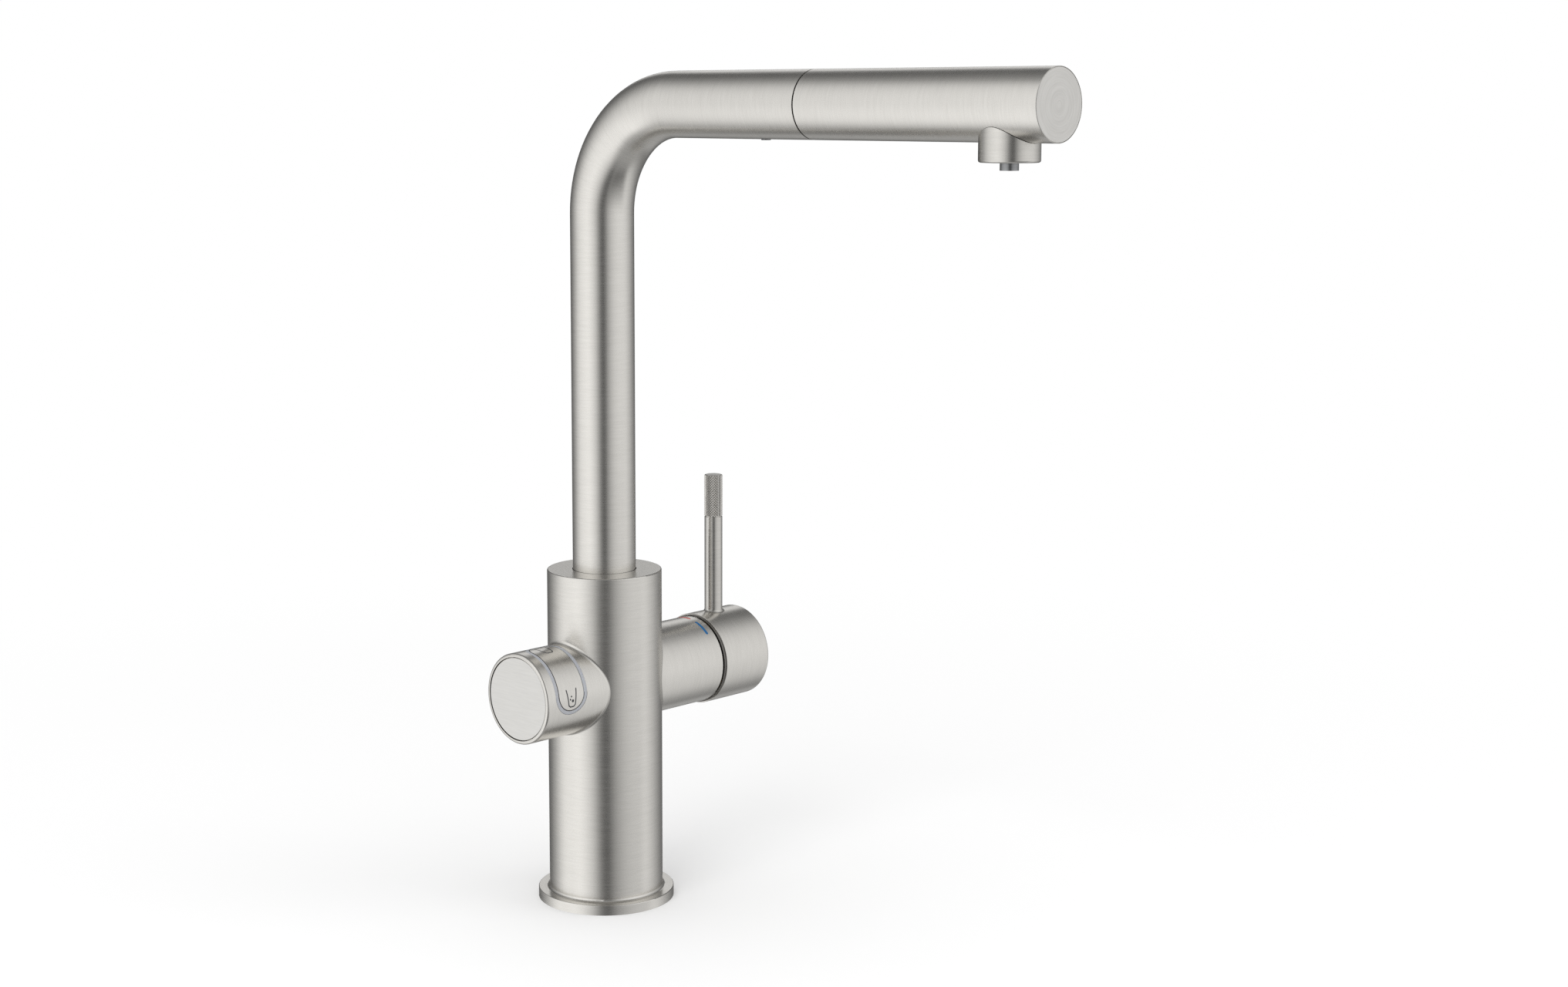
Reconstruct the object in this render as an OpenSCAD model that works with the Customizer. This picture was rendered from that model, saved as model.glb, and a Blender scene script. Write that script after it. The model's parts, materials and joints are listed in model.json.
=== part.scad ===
// Filtered water kitchen tap, in millimetres.
// A swivelling spout carries a pull-out head with two outlets, one inside the other.
// The right arm is the hot and cold mixer, with a knurled lever on its cap.
// The left arm holds a rocker inside a light ring, for still and sparkling water.
// The origin is the centre of the base on the worktop. +Z is up, the spout points
// along -Y, the water control along -X and the mixer along +X.

/* [Body] */
// Outer diameter of the body
body_d = 51; // [46:0.2:54]
// Height of the body's flat top above the worktop
body_h = 150; // [147:0.5:175]
// Wall of the body
body_wall = 2.8; // [2.2:0.1:3]
// Thickness of the body's top plate
body_top_t = 3; // [2.4:0.1:3.6]
// Radius of the small fillet at the body's foot
foot_fillet = 1.2; // [0.8:0.1:2]
// Rounding of turned outer edges
edge_round = 0.6; // [0.3:0.1:0.9]

/* [Base and fixing] */
// Outer diameter of the base ring
base_d = 61; // [58:0.5:70]
// Thickness of the base ring
base_t = 4.5; // [3.8:0.1:7]
// Outer diameter of the threaded fixing shank
shank_d = 33; // [32.4:0.2:35]
// Bore of the fixing shank
shank_bore_d = 28; // [28:0.1:29]
// Length of the shank below the worktop's upper face
shank_drop = 62; // [54:1:90]
// Thickness of the worktop that the fixing clamps
worktop_t = 38; // [12:1:42]
// Outer diameter of the clamping washers
washer_d = 57; // [52:0.5:64]
// Height of the fixing nut
nut_h = 9; // [7:0.5:12]
// Width across the fixing nut's corners
nut_d = 50; // [46:0.5:54]

/* [Spout] */
// Outer diameter of the spout tube
tube_d = 28; // [27:0.2:30]
// Wall of the spout tube
tube_wall = 1.6; // [1.4:0.1:1.7]
// Height of the spout's level axis above the worktop
spout_h = 354.5; // [310:1:400]
// Centre line radius of the bend
bend_r = 47; // [40:0.5:60]
// Distance of the spout's end face from the swivel axis
spout_reach = 243.4; // [236:0.5:270]
// Distance of the pull-out seam from the swivel axis
seam_at = 125; // [118:0.5:135]
// Width of the pull-out seam
seam_gap = 0.6; // [0.4:0.1:1]
// Swivel to each side
swivel_half = 75; // [45:5:80]

/* [Outlets] */
// Distance of the nozzle's axis from the swivel axis
nozzle_at = 221.3; // [216:0.5:224]
// Outer diameter of the nozzle collar
nozzle_d = 23.2; // [22.4:0.2:24]
// Drop of the nozzle's rim below the spout's axis
nozzle_drop = 21.2; // [19.5:0.1:24]
// Outer diameter of the filtered water outlet
outlet_d = 7.1; // [6.5:0.1:8]
// How far the filtered water outlet stands below the nozzle's rim
outlet_proud = 2.95; // [1:0.1:4]

/* [Side arms] */
// Height of the side arms' common axis above the worktop
arm_h = 99.5; // [97:0.5:110]
// Outer diameter of the water control on the left
control_d = 40; // [39.4:0.1:41]
// Distance of the water control's face from the swivel axis
control_reach = 51.8; // [51:0.1:58]
// Outer diameter of the mixer sleeve on the right
sleeve_d = 39.8; // [39.2:0.1:40.2]
// Distance of the mixer sleeve's end from the swivel axis
sleeve_reach = 55.4; // [54.8:0.1:60]

/* [Mixer handle] */
// Outer diameter of the handle cap
cap_d = 41.8; // [41.6:0.1:44]
// Gap between the sleeve and the handle cap
cap_gap = 1.5; // [1.3:0.1:2]
// Length of the handle cap
cap_len = 28.1; // [26:0.1:34]
// Distance of the lever from the swivel axis
lever_at = 69.2; // [68.6:0.1:71]
// Diameter of the lever
lever_d = 8.3; // [7.5:0.1:9]
// Height of the lever's tip above the worktop
lever_tip_h = 184.5; // [170:0.5:200]
// Length of the knurled grip at the lever's tip
grip_len = 19.5; // [12:0.5:26]
// Largest tilt of the lever away from the body
tilt_max = 20; // [10:1:20]

/* [Water selector] */
// Middle of the light ring, measured from the swivel axis
selector_at = 38; // [37.6:0.1:38.2]
// Width of the light ring along the control
selector_w = 18.1; // [17:0.1:18.4]
// Angle that the light ring covers round the control
selector_arc = 123; // [112:1:126]
// Angle of the light ring's middle above the spout's direction
selector_up = 45; // [30:1:60]
// Width of the light ring's band
ring_w = 1.7; // [1.3:0.1:1.9]
// Gap between the rocker and the light ring
rocker_gap = 0.35; // [0.32:0.01:0.45]
// Rocking angle to each side
rock_half = 1.5; // [0.8:0.1:1.5]

/* [Pull-out hose] */
// Outer diameter of the pull-out hose
hose_d = 10; // [9:0.1:10.2]
// Wall of the pull-out hose
hose_wall = 1.2; // [0.9:0.1:1.5]
// Outer diameter of the filtered water line inside the hose
line_d = 4; // [3.4:0.1:4.6]
// Wall of the filtered water line
line_wall = 0.75; // [0.5:0.05:1]

/* [Hidden] */
$fn = 96;

// Common clearances
overrun = 1;
run_gap = 0.05;
seat_gap = 0.3;
turn = 360;
half_turn = turn / 2;
square_turn = 90;

// Colours
steel = [0.74, 0.72, 0.69];
brass = [0.78, 0.63, 0.36];
rubber = [0.12, 0.12, 0.13];
plastic = [0.82, 0.83, 0.84];
dark_plastic = [0.22, 0.23, 0.25];

// Body
body_r = body_d / 2;
body_bore_r = body_r - body_wall;
top_plate_z = body_h - body_top_t;

// Base
base_r = base_d / 2;
shank_r = shank_d / 2;
shank_bore_r = shank_bore_d / 2;
spigot_h = 6;
spigot_top_z = base_t + spigot_h;
seal_t = 1.6;
seal_w = 5;
seal_inset = 3;
base_edge_round = 0.35;
washer_r = washer_d / 2;
rubber_t = 2.5;
washer_t = 2;
nut_corners = 6;

// Spout tube and its bearing in the body's top
tube_r = tube_d / 2;
tube_bore_r = tube_r - tube_wall;
bend_z = spout_h - bend_r;
spout_hole_r = tube_r + seat_gap;
bearing_w = 6;
bearing_r = tube_r + bearing_w;
bush_h = 11;
bush_z = top_plate_z - bush_h;
foot_h = 7.4;
foot_w = 5.6;
foot_top_z = bush_z - seat_gap;
foot_z = foot_top_z - foot_h;
thrust_t = 4;
thrust_top_z = foot_z - seat_gap;
block_top_z = thrust_top_z - thrust_t;
tube_end_z = thrust_top_z - thrust_t / 2;
stop_d = 3;
stop_groove_h = 3.4;
stop_in = 1.6;
stop_groove_w = stop_d + 2 * seat_gap;
stop_groove_r = tube_r + stop_in;
stop_at = stop_groove_r + stop_groove_w / 2;
stop_slack = 1;
stop_half = swivel_half + asin(stop_d / 2 / stop_at) + stop_slack;

// Valve block
block_r = body_bore_r - seat_gap / 2;
block_below = 35.5;
block_z = arm_h - block_below;
core_r = bearing_r + seat_gap;
guide_r = 6.2;
guide_t = 0.9;
guide_drop = 4;
inlet_d = 7;
inlet_depth = 14;
inlet_clear = 0.1;
inlet_at = shank_bore_r - inlet_d / 2 - inlet_clear;
inlet_turn = 60;
way_d = 4;
riser_d = 4.6;
riser_over = 0.5;
port_below = 5;
port_above = 8;
port_side = inlet_at * sin(inlet_turn);
way_rise = arm_h - port_below - block_z - inlet_depth;
mixed_rise = arm_h + port_above - block_z - inlet_depth;
cable_d = 5;
grommet_t = 1.2;
cable_at = body_bore_r - cable_d / 2 - 2 * grommet_t - seat_gap;
grommet_h = 4;
grommet_lip = 1.2;

// Mixer sleeve and cartridge
sleeve_r = sleeve_d / 2;
sleeve_wall = 2.2;
sleeve_bore_r = sleeve_r - sleeve_wall;
cartridge_r = sleeve_bore_r - seat_gap / 2;
cartridge_sunk = 8.4;
cartridge_end_x = sleeve_reach - cartridge_sunk;
nut_ring_x = cartridge_end_x;
nut_ring_t = 6.5;
carrier_flange_r = 14;
carrier_neck_r = 10.8;
carrier_flange_t = 8.7;
carrier_flange_x = cartridge_end_x - seat_gap - carrier_flange_t;
carrier_end_x = sleeve_reach - seat_gap;
disc_r = 13;
disc_t = 3.6;
moving_disc_x = carrier_flange_x - disc_t;
fixed_disc_x = moving_disc_x - run_gap - disc_t;
port_d = way_d;
nut_ring_bore_r = carrier_neck_r + seat_gap;

// Tilting stem
pivot_back = 4;
pivot_x = sleeve_reach - pivot_back;
pin_d = 3;
pin_len = 20;
stem_w = 7;
stem_h = 8;
stem_tail = 6.4;
stem_grip = 12;
slot_w = stem_w + 2 * seat_gap;
slot_h = 2 * (stem_tail * sin(tilt_max) + stem_h / 2 / cos(tilt_max) + seat_gap);
slot_tail = 8;

// Marks on the sleeve
mark_back = 3.8;
mark_w = 1;
mark_deep = 0.4;
mark_arc = 28;
mark_step = 38;
mark_mid = 76.5;

// Handle cap and lever
cap_r = cap_d / 2;
cap_x = sleeve_reach + cap_gap;
skirt_clear = 0.3;
skirt_bore_r = sleeve_r + skirt_clear;
hollow_slack = 0.8;
cap_hollow = (sleeve_reach - pivot_x) * cos(tilt_max) + sleeve_r * sin(tilt_max)
    - (cap_x - pivot_x) + hollow_slack;
hub_x = cap_x + cap_hollow;
cap_round = 1;
lever_r = lever_d / 2;
lever_root = 8;
lever_root_z = arm_h + lever_root;
lever_flare = 1.8;
tip_chamfer = 0.4;
grip_cut = 0.12;
screw_d = 5;
screw_hex_d = 2.5;
screw_hex_deep = 2.5;
screw_inset = 0.8;

// Water control
control_r = control_d / 2;
control_wall = 2.8;
control_bore_r = control_r - control_wall;
control_rim_round = 1;
face_gap = 0.2;
face_edge = 1.55;
face_r = control_r - face_edge - face_gap;
face_t = 3;
face_sunk = 0.25;
face_x = control_reach - face_sunk - face_t;
web_t = 1.5;
carrier_front_x = face_x - web_t;
cable_room = 5.3;
carrier_back_x = core_r + cable_room;
selector_r = selector_w / 2;
selector_run = selector_arc / turn * PI * control_r - selector_r;
pad_steps = 32;
opening_r = selector_r - ring_w;
rocker_w_r = opening_r - rocker_gap;
rocker_t = 2.6;
rocker_in_r = control_r - rocker_t;
ring_recess = 0.05;
rock_at = 11.5;
ledge = 0.7;
pocket_r = opening_r + ledge;
board_floor = 6.6;
board_t = 1.6;
board_top = board_floor + board_t;
board_l = 26;
board_w = pocket_r * 2 - 2 * seat_gap;
key_w = 5;
key_h = 3.1;
key_dome_d = 3.4;
key_dome_h = 0.5;
key_apart = 9.5;
foot_slack = 0.15;
foot_clear = key_apart * sin(rock_half) + foot_slack;
rocker_floor = board_floor + control_r * sin(rock_half) + foot_slack;
foot_post_d = 4;
foot_post_z = board_top + key_h + key_dome_h + foot_clear;
foot_post_h = rocker_in_r * cos(asin(key_apart / rocker_in_r)) - foot_post_z + rocker_t / 2;
ear_t = 2;
ear_apart = 9;
ear_w = 4;
ear_drop = 2;
rocker_pin_d = 2;
rocker_pin_back = 3;

// Pull-out parts
seam_in = seam_at - seam_gap / 2;
seam_out = seam_at + seam_gap / 2;
hose_r = hose_d / 2;
line_r = line_d / 2;
spigot_len = 13;
spigot_r = 8;
spigot_wall = 1.8;
dock_bore_r = spigot_r + seat_gap;
dock_lip = 0.4;
ferrule_r = spigot_r - spigot_wall;
ferrule_len = 16;
ferrule_past = 2.2;
ferrule_end = seam_out + ferrule_past;
hose_end = ferrule_end - ferrule_len - seat_gap;
dock_screw_at = 98;
dock_screw_d = 4;
dock_screw_proud = 0.3;
dock_screw_deep = 2.5;
dock_ring_len = 34;
spigot_plate_t = 2.4;

// Spray head
head_bore_r = tube_r - tube_wall;
manifold_r = head_bore_r - seat_gap;
end_round = 0.2;
end_lip = 0.45;
cap_plate_t = 3;
cap_plate_sunk = 0.2;
cap_plate_r = tube_r - end_lip;
head_len = spout_reach - seam_out;
nozzle_r = nozzle_d / 2;
nozzle_wall = 1.4;
nozzle_bore_r = nozzle_r - nozzle_wall;
nozzle_seam = 0.15;
nozzle_round = 0.9;
collar_neck_t = 1;
neck_r = nozzle_bore_r - collar_neck_t;
aerator_sunk = 0.6;
aerator_h = 9;
aerator_holes = [12, 20];
aerator_row_shares = [0.56, 0.8];
aerator_hole_share = 0.075;
outlet_r = outlet_d / 2;
outlet_wall = 1;
outlet_h = outlet_proud + nozzle_drop;
rim_z = spout_h - nozzle_drop;
manifold_back = 12;
manifold_front = 2;
manifold_way_d = 8;

// Hose union below the shank
union_d = 13.16;
union_len = 12;
union_hex_d = 12.6;
union_hex_h = 8;
union_gap = 4;
union_web_t = 2;
web_holes = 6;
web_hole_d = 1.2;
union_z = -shank_drop - union_gap - union_len;
union_top_z = union_z + union_len + union_hex_h;

// Shape helpers: a child drawn along +Z is laid along an arm or the spout.
module along_mixer(x) { translate([x, 0, arm_h]) rotate([0, square_turn, 0]) children(); }

module along_control(x) { translate([-x, 0, arm_h]) rotate([0, -square_turn, 0]) children(); }

module along_spout(y) { translate([0, -y, spout_h]) rotate([square_turn, 0, 0]) children(); }

// In this frame +X points out through the middle of the selector, +Z runs along the arm.
module at_selector() { along_control(0) rotate([0, 0, selector_up - square_turn]) children(); }

// An arm's inner end is scooped out to fit round the core of the valve block.
module outside_core() {
    difference() {
        children();
        translate([0, 0, -overrun]) cylinder(r = core_r, h = body_h + 2 * overrun);
    }
}

module ring(r_out, r_in, h) {
    difference() {
        cylinder(r = r_out, h = h);
        translate([0, 0, -overrun]) cylinder(r = r_in, h = h + 2 * overrun);
    }
}

// A flat profile's outer corner at [x, y], rounded off with radius r.
module round_off(x, y, r) {
    translate([x - r, y - r]) difference() {
        square(r + overrun);
        circle(r = r);
    }
}

// Outline of a round-ended pad that is wrapped on the control's wall, seen along the
// direction in which it is pushed in. Each point is [along the arm, across it].
function wrapped_outline(half_w) = [
    for (side = [1, -1], i = [0 : pad_steps])
        let (a = (i / pad_steps - 1 / 2) * half_turn,
             along = selector_run + half_w * cos(a))
        [side * half_w * sin(a), side * control_r * sin(along / control_r * half_turn / PI)]
];

// The pad itself, pushed in from outside down to a floor, between two radii.
module wrapped_pad(half_w, r_in, r_out, floor_x) {
    intersection() {
        translate([floor_x, 0, selector_at]) rotate([0, square_turn, 0])
            linear_extrude(r_out) polygon(wrapped_outline(half_w));
        translate([0, 0, selector_at - half_w - overrun]) ring(r_out, r_in, 2 * (half_w + overrun));
    }
}

// Base and fixing
module base_ring() {
    color(steel) rotate_extrude() difference() {
        union() {
            translate([shank_r, 0]) square([base_r - shank_r, base_t]);
            translate([shank_r, 0]) square([body_bore_r - shank_r, spigot_top_z]);
        }
        round_off(base_r, base_t, base_edge_round);
        translate([base_r - seal_inset - seal_w, -overrun]) square([seal_w, seal_t + overrun]);
    }
}

module base_seal() {
    color(rubber) ring(base_r - seal_inset, base_r - seal_inset - seal_w, seal_t);
}

module fixing_shank() {
    color(brass) translate([0, 0, -shank_drop])
        ring(shank_r, shank_bore_r, shank_drop + spigot_top_z);
}

module rubber_washer() {
    color(rubber) translate([0, 0, -worktop_t - rubber_t])
        ring(washer_r, shank_r + seat_gap, rubber_t);
}

module clamp_washer() {
    color(steel) translate([0, 0, -worktop_t - rubber_t - washer_t])
        ring(washer_r, shank_r + seat_gap, washer_t);
}

module fixing_nut() {
    color(brass) translate([0, 0, -worktop_t - rubber_t - washer_t - nut_h]) difference() {
        cylinder(d = nut_d, h = nut_h, $fn = nut_corners);
        translate([0, 0, -overrun]) cylinder(r = shank_r, h = nut_h + 2 * overrun);
    }
}

// Body
module shell_profile() {
    difference() {
        union() {
            translate([body_bore_r, base_t]) square([body_wall, block_top_z - base_t]);
            translate([bearing_r, block_top_z]) square([body_r - bearing_r, body_h - block_top_z]);
            translate([spout_hole_r, top_plate_z]) square([body_r - spout_hole_r, body_top_t]);
            translate([body_bore_r, base_t]) square([body_wall + foot_fillet, foot_fillet]);
        }
        translate([body_r + foot_fillet, base_t + foot_fillet]) circle(r = foot_fillet);
        round_off(body_r, body_h, edge_round);
    }
}

module body_shell() {
    color(steel) difference() {
        rotate_extrude() shell_profile();
        along_control(0) cylinder(r = control_r, h = body_d);
        along_mixer(0) cylinder(r = sleeve_r, h = body_d);
    }
}

module inlet(angle, rise, reach) {
    rotate([0, 0, angle]) translate([inlet_at, 0, block_z - overrun]) {
        cylinder(d = inlet_d, h = inlet_depth + overrun);
        cylinder(d = riser_d, h = inlet_depth + rise + overrun + way_d / 2 + riser_over);
    }
    translate([inlet_at * cos(angle), inlet_at * sin(angle), block_z + inlet_depth + rise])
        rotate([0, square_turn, 0]) cylinder(d = way_d, h = reach);
}

module valve_block() {
    color(brass) difference() {
        translate([0, 0, block_z]) cylinder(r = block_r, h = block_top_z - block_z);
        translate([0, 0, block_z - overrun])
            cylinder(r = guide_r, h = block_top_z - block_z + 2 * overrun);
        outside_core() along_control(0) cylinder(r = control_r, h = body_d);
        outside_core() along_mixer(0) cylinder(r = sleeve_r, h = body_d);
        inlet(inlet_turn, way_rise, body_r);
        inlet(-inlet_turn, way_rise, body_r);
        inlet(0, mixed_rise, body_r);
        translate([-cable_at, 0, block_z - overrun])
            cylinder(d = cable_d + 2 * grommet_t, h = arm_h - block_z);
    }
}

module cable_grommet() {
    color(rubber) translate([-cable_at, 0, block_z]) difference() {
        union() {
            cylinder(d = cable_d + 2 * grommet_t, h = grommet_h);
            translate([0, 0, -grommet_lip]) cylinder(d = cable_d + 4 * grommet_t, h = grommet_lip);
        }
        translate([0, 0, -grommet_lip - overrun])
            cylinder(d = cable_d, h = grommet_h + grommet_lip + 2 * overrun);
    }
}

module hose_guide() {
    color(plastic) translate([0, 0, block_z - guide_drop])
        ring(guide_r, guide_r - guide_t, block_top_z - block_z + guide_drop);
}

// Swivel bearing
module thrust_washer() {
    color(plastic) translate([0, 0, block_top_z]) difference() {
        ring(bearing_r, tube_r + seat_gap, thrust_t);
        translate([0, stop_at, -overrun]) cylinder(d = stop_d, h = thrust_t + 2 * overrun);
    }
}

module swivel_bush() {
    color(plastic) translate([0, 0, bush_z]) ring(bearing_r, tube_r + run_gap, bush_h);
}

module swivel_stop() {
    color(steel) translate([0, stop_at, block_top_z])
        cylinder(d = stop_d, h = thrust_t + stop_groove_h);
}

module spout_foot() {
    color(brass) difference() {
        translate([0, 0, foot_z]) ring(tube_r + foot_w, tube_r, foot_h);
        translate([0, 0, foot_z - overrun]) rotate([0, 0, square_turn - stop_half])
            rotate_extrude(angle = 2 * stop_half) translate([stop_groove_r, 0])
                square([stop_groove_w, stop_groove_h + overrun]);
    }
}

// Mixer
module mark_groove(mid, deep, proud) {
    along_mixer(sleeve_reach - mark_back - mark_w / 2)
        rotate([0, 0, -square_turn - mid - mark_arc / 2]) rotate_extrude(angle = mark_arc)
            translate([sleeve_r - deep, 0]) square([deep + proud, mark_w]);
}

module mixer_sleeve() {
    color(steel) difference() {
        outside_core() along_mixer(0) ring(sleeve_r, sleeve_bore_r, sleeve_reach);
        mark_groove(mark_mid - mark_step / 2, mark_deep, overrun);
        mark_groove(mark_mid + mark_step / 2, mark_deep, overrun);
    }
}

module cold_mark() { color([0.05, 0.4, 0.62]) mark_groove(mark_mid - mark_step / 2, mark_deep, 0); }

module hot_mark() { color([0.75, 0.3, 0.28]) mark_groove(mark_mid + mark_step / 2, mark_deep, 0); }

module cartridge_ports() {
    for (place = [[port_below, port_side], [port_below, -port_side], [-port_above, 0]])
        translate([place.x, place.y, -overrun]) cylinder(d = port_d, h = cartridge_end_x);
}

module cartridge_body() {
    color(plastic) difference() {
        outside_core() along_mixer(0) cylinder(r = cartridge_r, h = cartridge_end_x);
        along_mixer(carrier_flange_x - seat_gap)
            cylinder(r = carrier_flange_r + run_gap, h = carrier_flange_t + body_r);
        along_mixer(fixed_disc_x) cylinder(r = disc_r, h = 2 * disc_t + body_r);
        along_mixer(0) cartridge_ports();
    }
}

module cartridge_nut() {
    color(brass) along_mixer(nut_ring_x) ring(sleeve_bore_r, nut_ring_bore_r, nut_ring_t);
}

module fixed_disc() {
    color([0.93, 0.92, 0.89]) difference() {
        along_mixer(fixed_disc_x) cylinder(r = disc_r, h = disc_t);
        along_mixer(0) cartridge_ports();
    }
}

module moving_disc() {
    color([0.95, 0.94, 0.92]) along_mixer(moving_disc_x) difference() {
        cylinder(r = disc_r - seat_gap, h = disc_t);
        translate([0, 0, -overrun]) cylinder(r = port_d, h = disc_t / 2 + overrun);
    }
}

module cartridge_carrier() {
    color(dark_plastic) difference() {
        union() {
            along_mixer(carrier_flange_x) cylinder(r = carrier_flange_r, h = carrier_flange_t);
            along_mixer(carrier_flange_x)
                cylinder(r = carrier_neck_r, h = carrier_end_x - carrier_flange_x);
        }
        translate([pivot_x - slot_tail, -slot_w / 2, arm_h - slot_h / 2])
            cube([slot_tail + body_r, slot_w, slot_h]);
        translate([pivot_x, pin_len / 2, arm_h]) rotate([square_turn, 0, 0])
            cylinder(d = pin_d, h = pin_len);
    }
}

module stem_pin() {
    color(steel) translate([pivot_x, pin_len / 2, arm_h]) rotate([square_turn, 0, 0])
        cylinder(d = pin_d, h = pin_len);
}

module stem_bar() {
    translate([pivot_x - stem_tail, -stem_w / 2, arm_h - stem_h / 2])
        cube([hub_x + stem_grip - pivot_x + stem_tail, stem_w, stem_h]);
}

module cartridge_stem() {
    color(brass) difference() {
        stem_bar();
        translate([pivot_x, body_r, arm_h]) rotate([square_turn, 0, 0])
            cylinder(d = pin_d + 2 * run_gap, h = body_d);
    }
}

// Handle
module handle_cap() {
    color(steel) difference() {
        along_mixer(cap_x) rotate_extrude() difference() {
            square([cap_r, cap_len]);
            translate([0, -overrun]) square([skirt_bore_r, cap_hollow + overrun]);
            round_off(cap_r, cap_len, cap_round);
        }
        stem_bar();
        translate([lever_at, 0, lever_root_z]) cylinder(r = lever_r, h = cap_d);
        translate([lever_at, 0, arm_h - cap_d]) cylinder(d = screw_d, h = cap_d - stem_h / 2);
    }
}

module lever_profile() {
    flare_z = arm_h + cap_r - lever_flare;
    difference() {
        union() {
            translate([0, lever_root_z]) square([lever_r, lever_tip_h - lever_root_z]);
            translate([0, flare_z]) square([lever_r + lever_flare, 2 * lever_flare]);
        }
        translate([lever_r + lever_flare, flare_z + 2 * lever_flare]) circle(r = lever_flare);
        translate([lever_r - grip_cut, lever_tip_h - grip_len - grip_cut])
            square([grip_cut + overrun, grip_cut * 2]);
        round_off(lever_r, lever_tip_h, tip_chamfer);
    }
}

module lever_rod() {
    color(steel) difference() {
        translate([lever_at, 0, 0]) rotate_extrude() lever_profile();
        difference() {
            along_mixer(cap_x) cylinder(r = cap_r, h = cap_len);
            translate([lever_at, 0, 0]) cylinder(r = lever_r, h = lever_tip_h);
        }
    }
}

module lever_screw() {
    bottom_z = arm_h - cap_r + screw_inset;
    color(dark_plastic) translate([lever_at, 0, bottom_z]) difference() {
        cylinder(d = screw_d, h = arm_h - stem_h / 2 - bottom_z);
        translate([0, 0, -overrun])
            cylinder(d = screw_hex_d, h = screw_hex_deep + overrun, $fn = nut_corners);
    }
}

// Water control
module control_housing() {
    color(steel) difference() {
        outside_core() along_control(0) rotate_extrude() difference() {
            square([control_r, control_reach]);
            translate([0, -overrun]) square([control_bore_r, carrier_front_x + overrun]);
            translate([0, face_x]) square([face_r + face_gap, face_t + overrun]);
            round_off(control_r, control_reach, control_rim_round);
        }
        at_selector() wrapped_pad(selector_r, control_bore_r - overrun, control_r + overrun, board_floor);
    }
}

module control_face() {
    color(steel) along_control(face_x) rotate_extrude() difference() {
        square([face_r, face_t]);
        round_off(face_r, face_t, face_gap);
    }
}

module light_ring() {
    color([0.72, 0.75, 0.8]) at_selector() difference() {
        wrapped_pad(selector_r, control_bore_r, control_r - ring_recess, board_floor);
        wrapped_pad(opening_r, control_bore_r - overrun, control_r + overrun, board_floor - overrun);
    }
}

module control_carrier() {
    color(dark_plastic) at_selector() difference() {
        translate([0, 0, carrier_back_x])
            cylinder(r = control_bore_r, h = carrier_front_x - carrier_back_x);
        translate([board_floor, -control_r, selector_at - pocket_r])
            cube([control_r, control_d, 2 * pocket_r]);
        translate([rock_at, 0, selector_at - pocket_r - rocker_pin_back])
            cylinder(d = rocker_pin_d, h = control_reach);
        translate([board_top + cable_d / 2, 0, carrier_back_x - overrun])
            cylinder(d = cable_d, h = selector_at - carrier_back_x);
    }
}

module switch_board() {
    color([0.1, 0.35, 0.22]) at_selector()
        translate([board_floor, -board_l / 2, selector_at - board_w / 2])
            cube([board_t, board_l, board_w]);
}

module key_switches() {
    color(dark_plastic) at_selector() for (side = [-1, 1]) {
        translate([board_top, side * key_apart - key_w / 2, selector_at - key_w / 2])
            cube([key_h, key_w, key_w]);
        translate([board_top + key_h, side * key_apart, selector_at]) rotate([0, square_turn, 0])
            cylinder(d = key_dome_d, h = key_dome_h);
    }
}

module rocker_pin() {
    color(steel) at_selector() translate([rock_at, 0, selector_at - pocket_r - rocker_pin_back])
        cylinder(d = rocker_pin_d, h = carrier_front_x - selector_at + pocket_r + rocker_pin_back);
}

module selector_rocker() {
    color(steel) at_selector() difference() {
        union() {
            wrapped_pad(rocker_w_r, rocker_in_r, control_r, rocker_floor);
            for (side = [-1, 1]) {
                translate([rock_at - ear_drop, -ear_w / 2, selector_at + side * ear_apart / 2 - ear_t / 2])
                    cube([rocker_in_r - rock_at + ear_drop + rocker_t / 2, ear_w, ear_t]);
                translate([foot_post_z, side * key_apart, selector_at]) rotate([0, square_turn, 0])
                    cylinder(d = foot_post_d, h = foot_post_h);
            }
        }
        translate([rock_at, 0, 0]) cylinder(d = rocker_pin_d + 2 * run_gap, h = control_reach);
    }
}

// Spout
module swept_tube(r, r_in, low_z, reach) {
    translate([0, 0, low_z]) ring(r, r_in, bend_z - low_z);
    translate([0, -bend_r, bend_z]) rotate([square_turn, 0, square_turn])
        rotate_extrude(angle = square_turn) translate([bend_r, 0]) difference() {
            circle(r = r);
            circle(r = r_in);
        }
    along_spout(bend_r) ring(r, r_in, reach - bend_r);
}

module spout_tube() {
    color(steel) difference() {
        swept_tube(tube_r, tube_bore_r, tube_end_z, seam_in);
        translate([0, -dock_screw_at, spout_h - tube_r - overrun])
            cylinder(d = dock_screw_d, h = tube_r);
    }
}

module docking_sleeve() {
    color(dark_plastic) difference() {
        along_spout(seam_in - dock_ring_len) ring(tube_bore_r, dock_bore_r, dock_ring_len - dock_lip);
        translate([0, -dock_screw_at, spout_h - tube_r])
            cylinder(d = dock_screw_d, h = tube_wall + dock_screw_deep);
    }
}

module dock_screw() {
    color(dark_plastic) translate([0, -dock_screw_at, spout_h - tube_r - dock_screw_proud])
        cylinder(d = dock_screw_d, h = dock_screw_proud + tube_wall + dock_screw_deep);
}

module pull_hose() {
    color([0.35, 0.36, 0.38]) swept_tube(hose_r, hose_r - hose_wall, union_top_z, hose_end);
}

module filter_line() {
    color([0.85, 0.88, 0.95])
        swept_tube(line_r, line_r - line_wall, union_top_z - union_web_t, hose_end);
}

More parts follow.
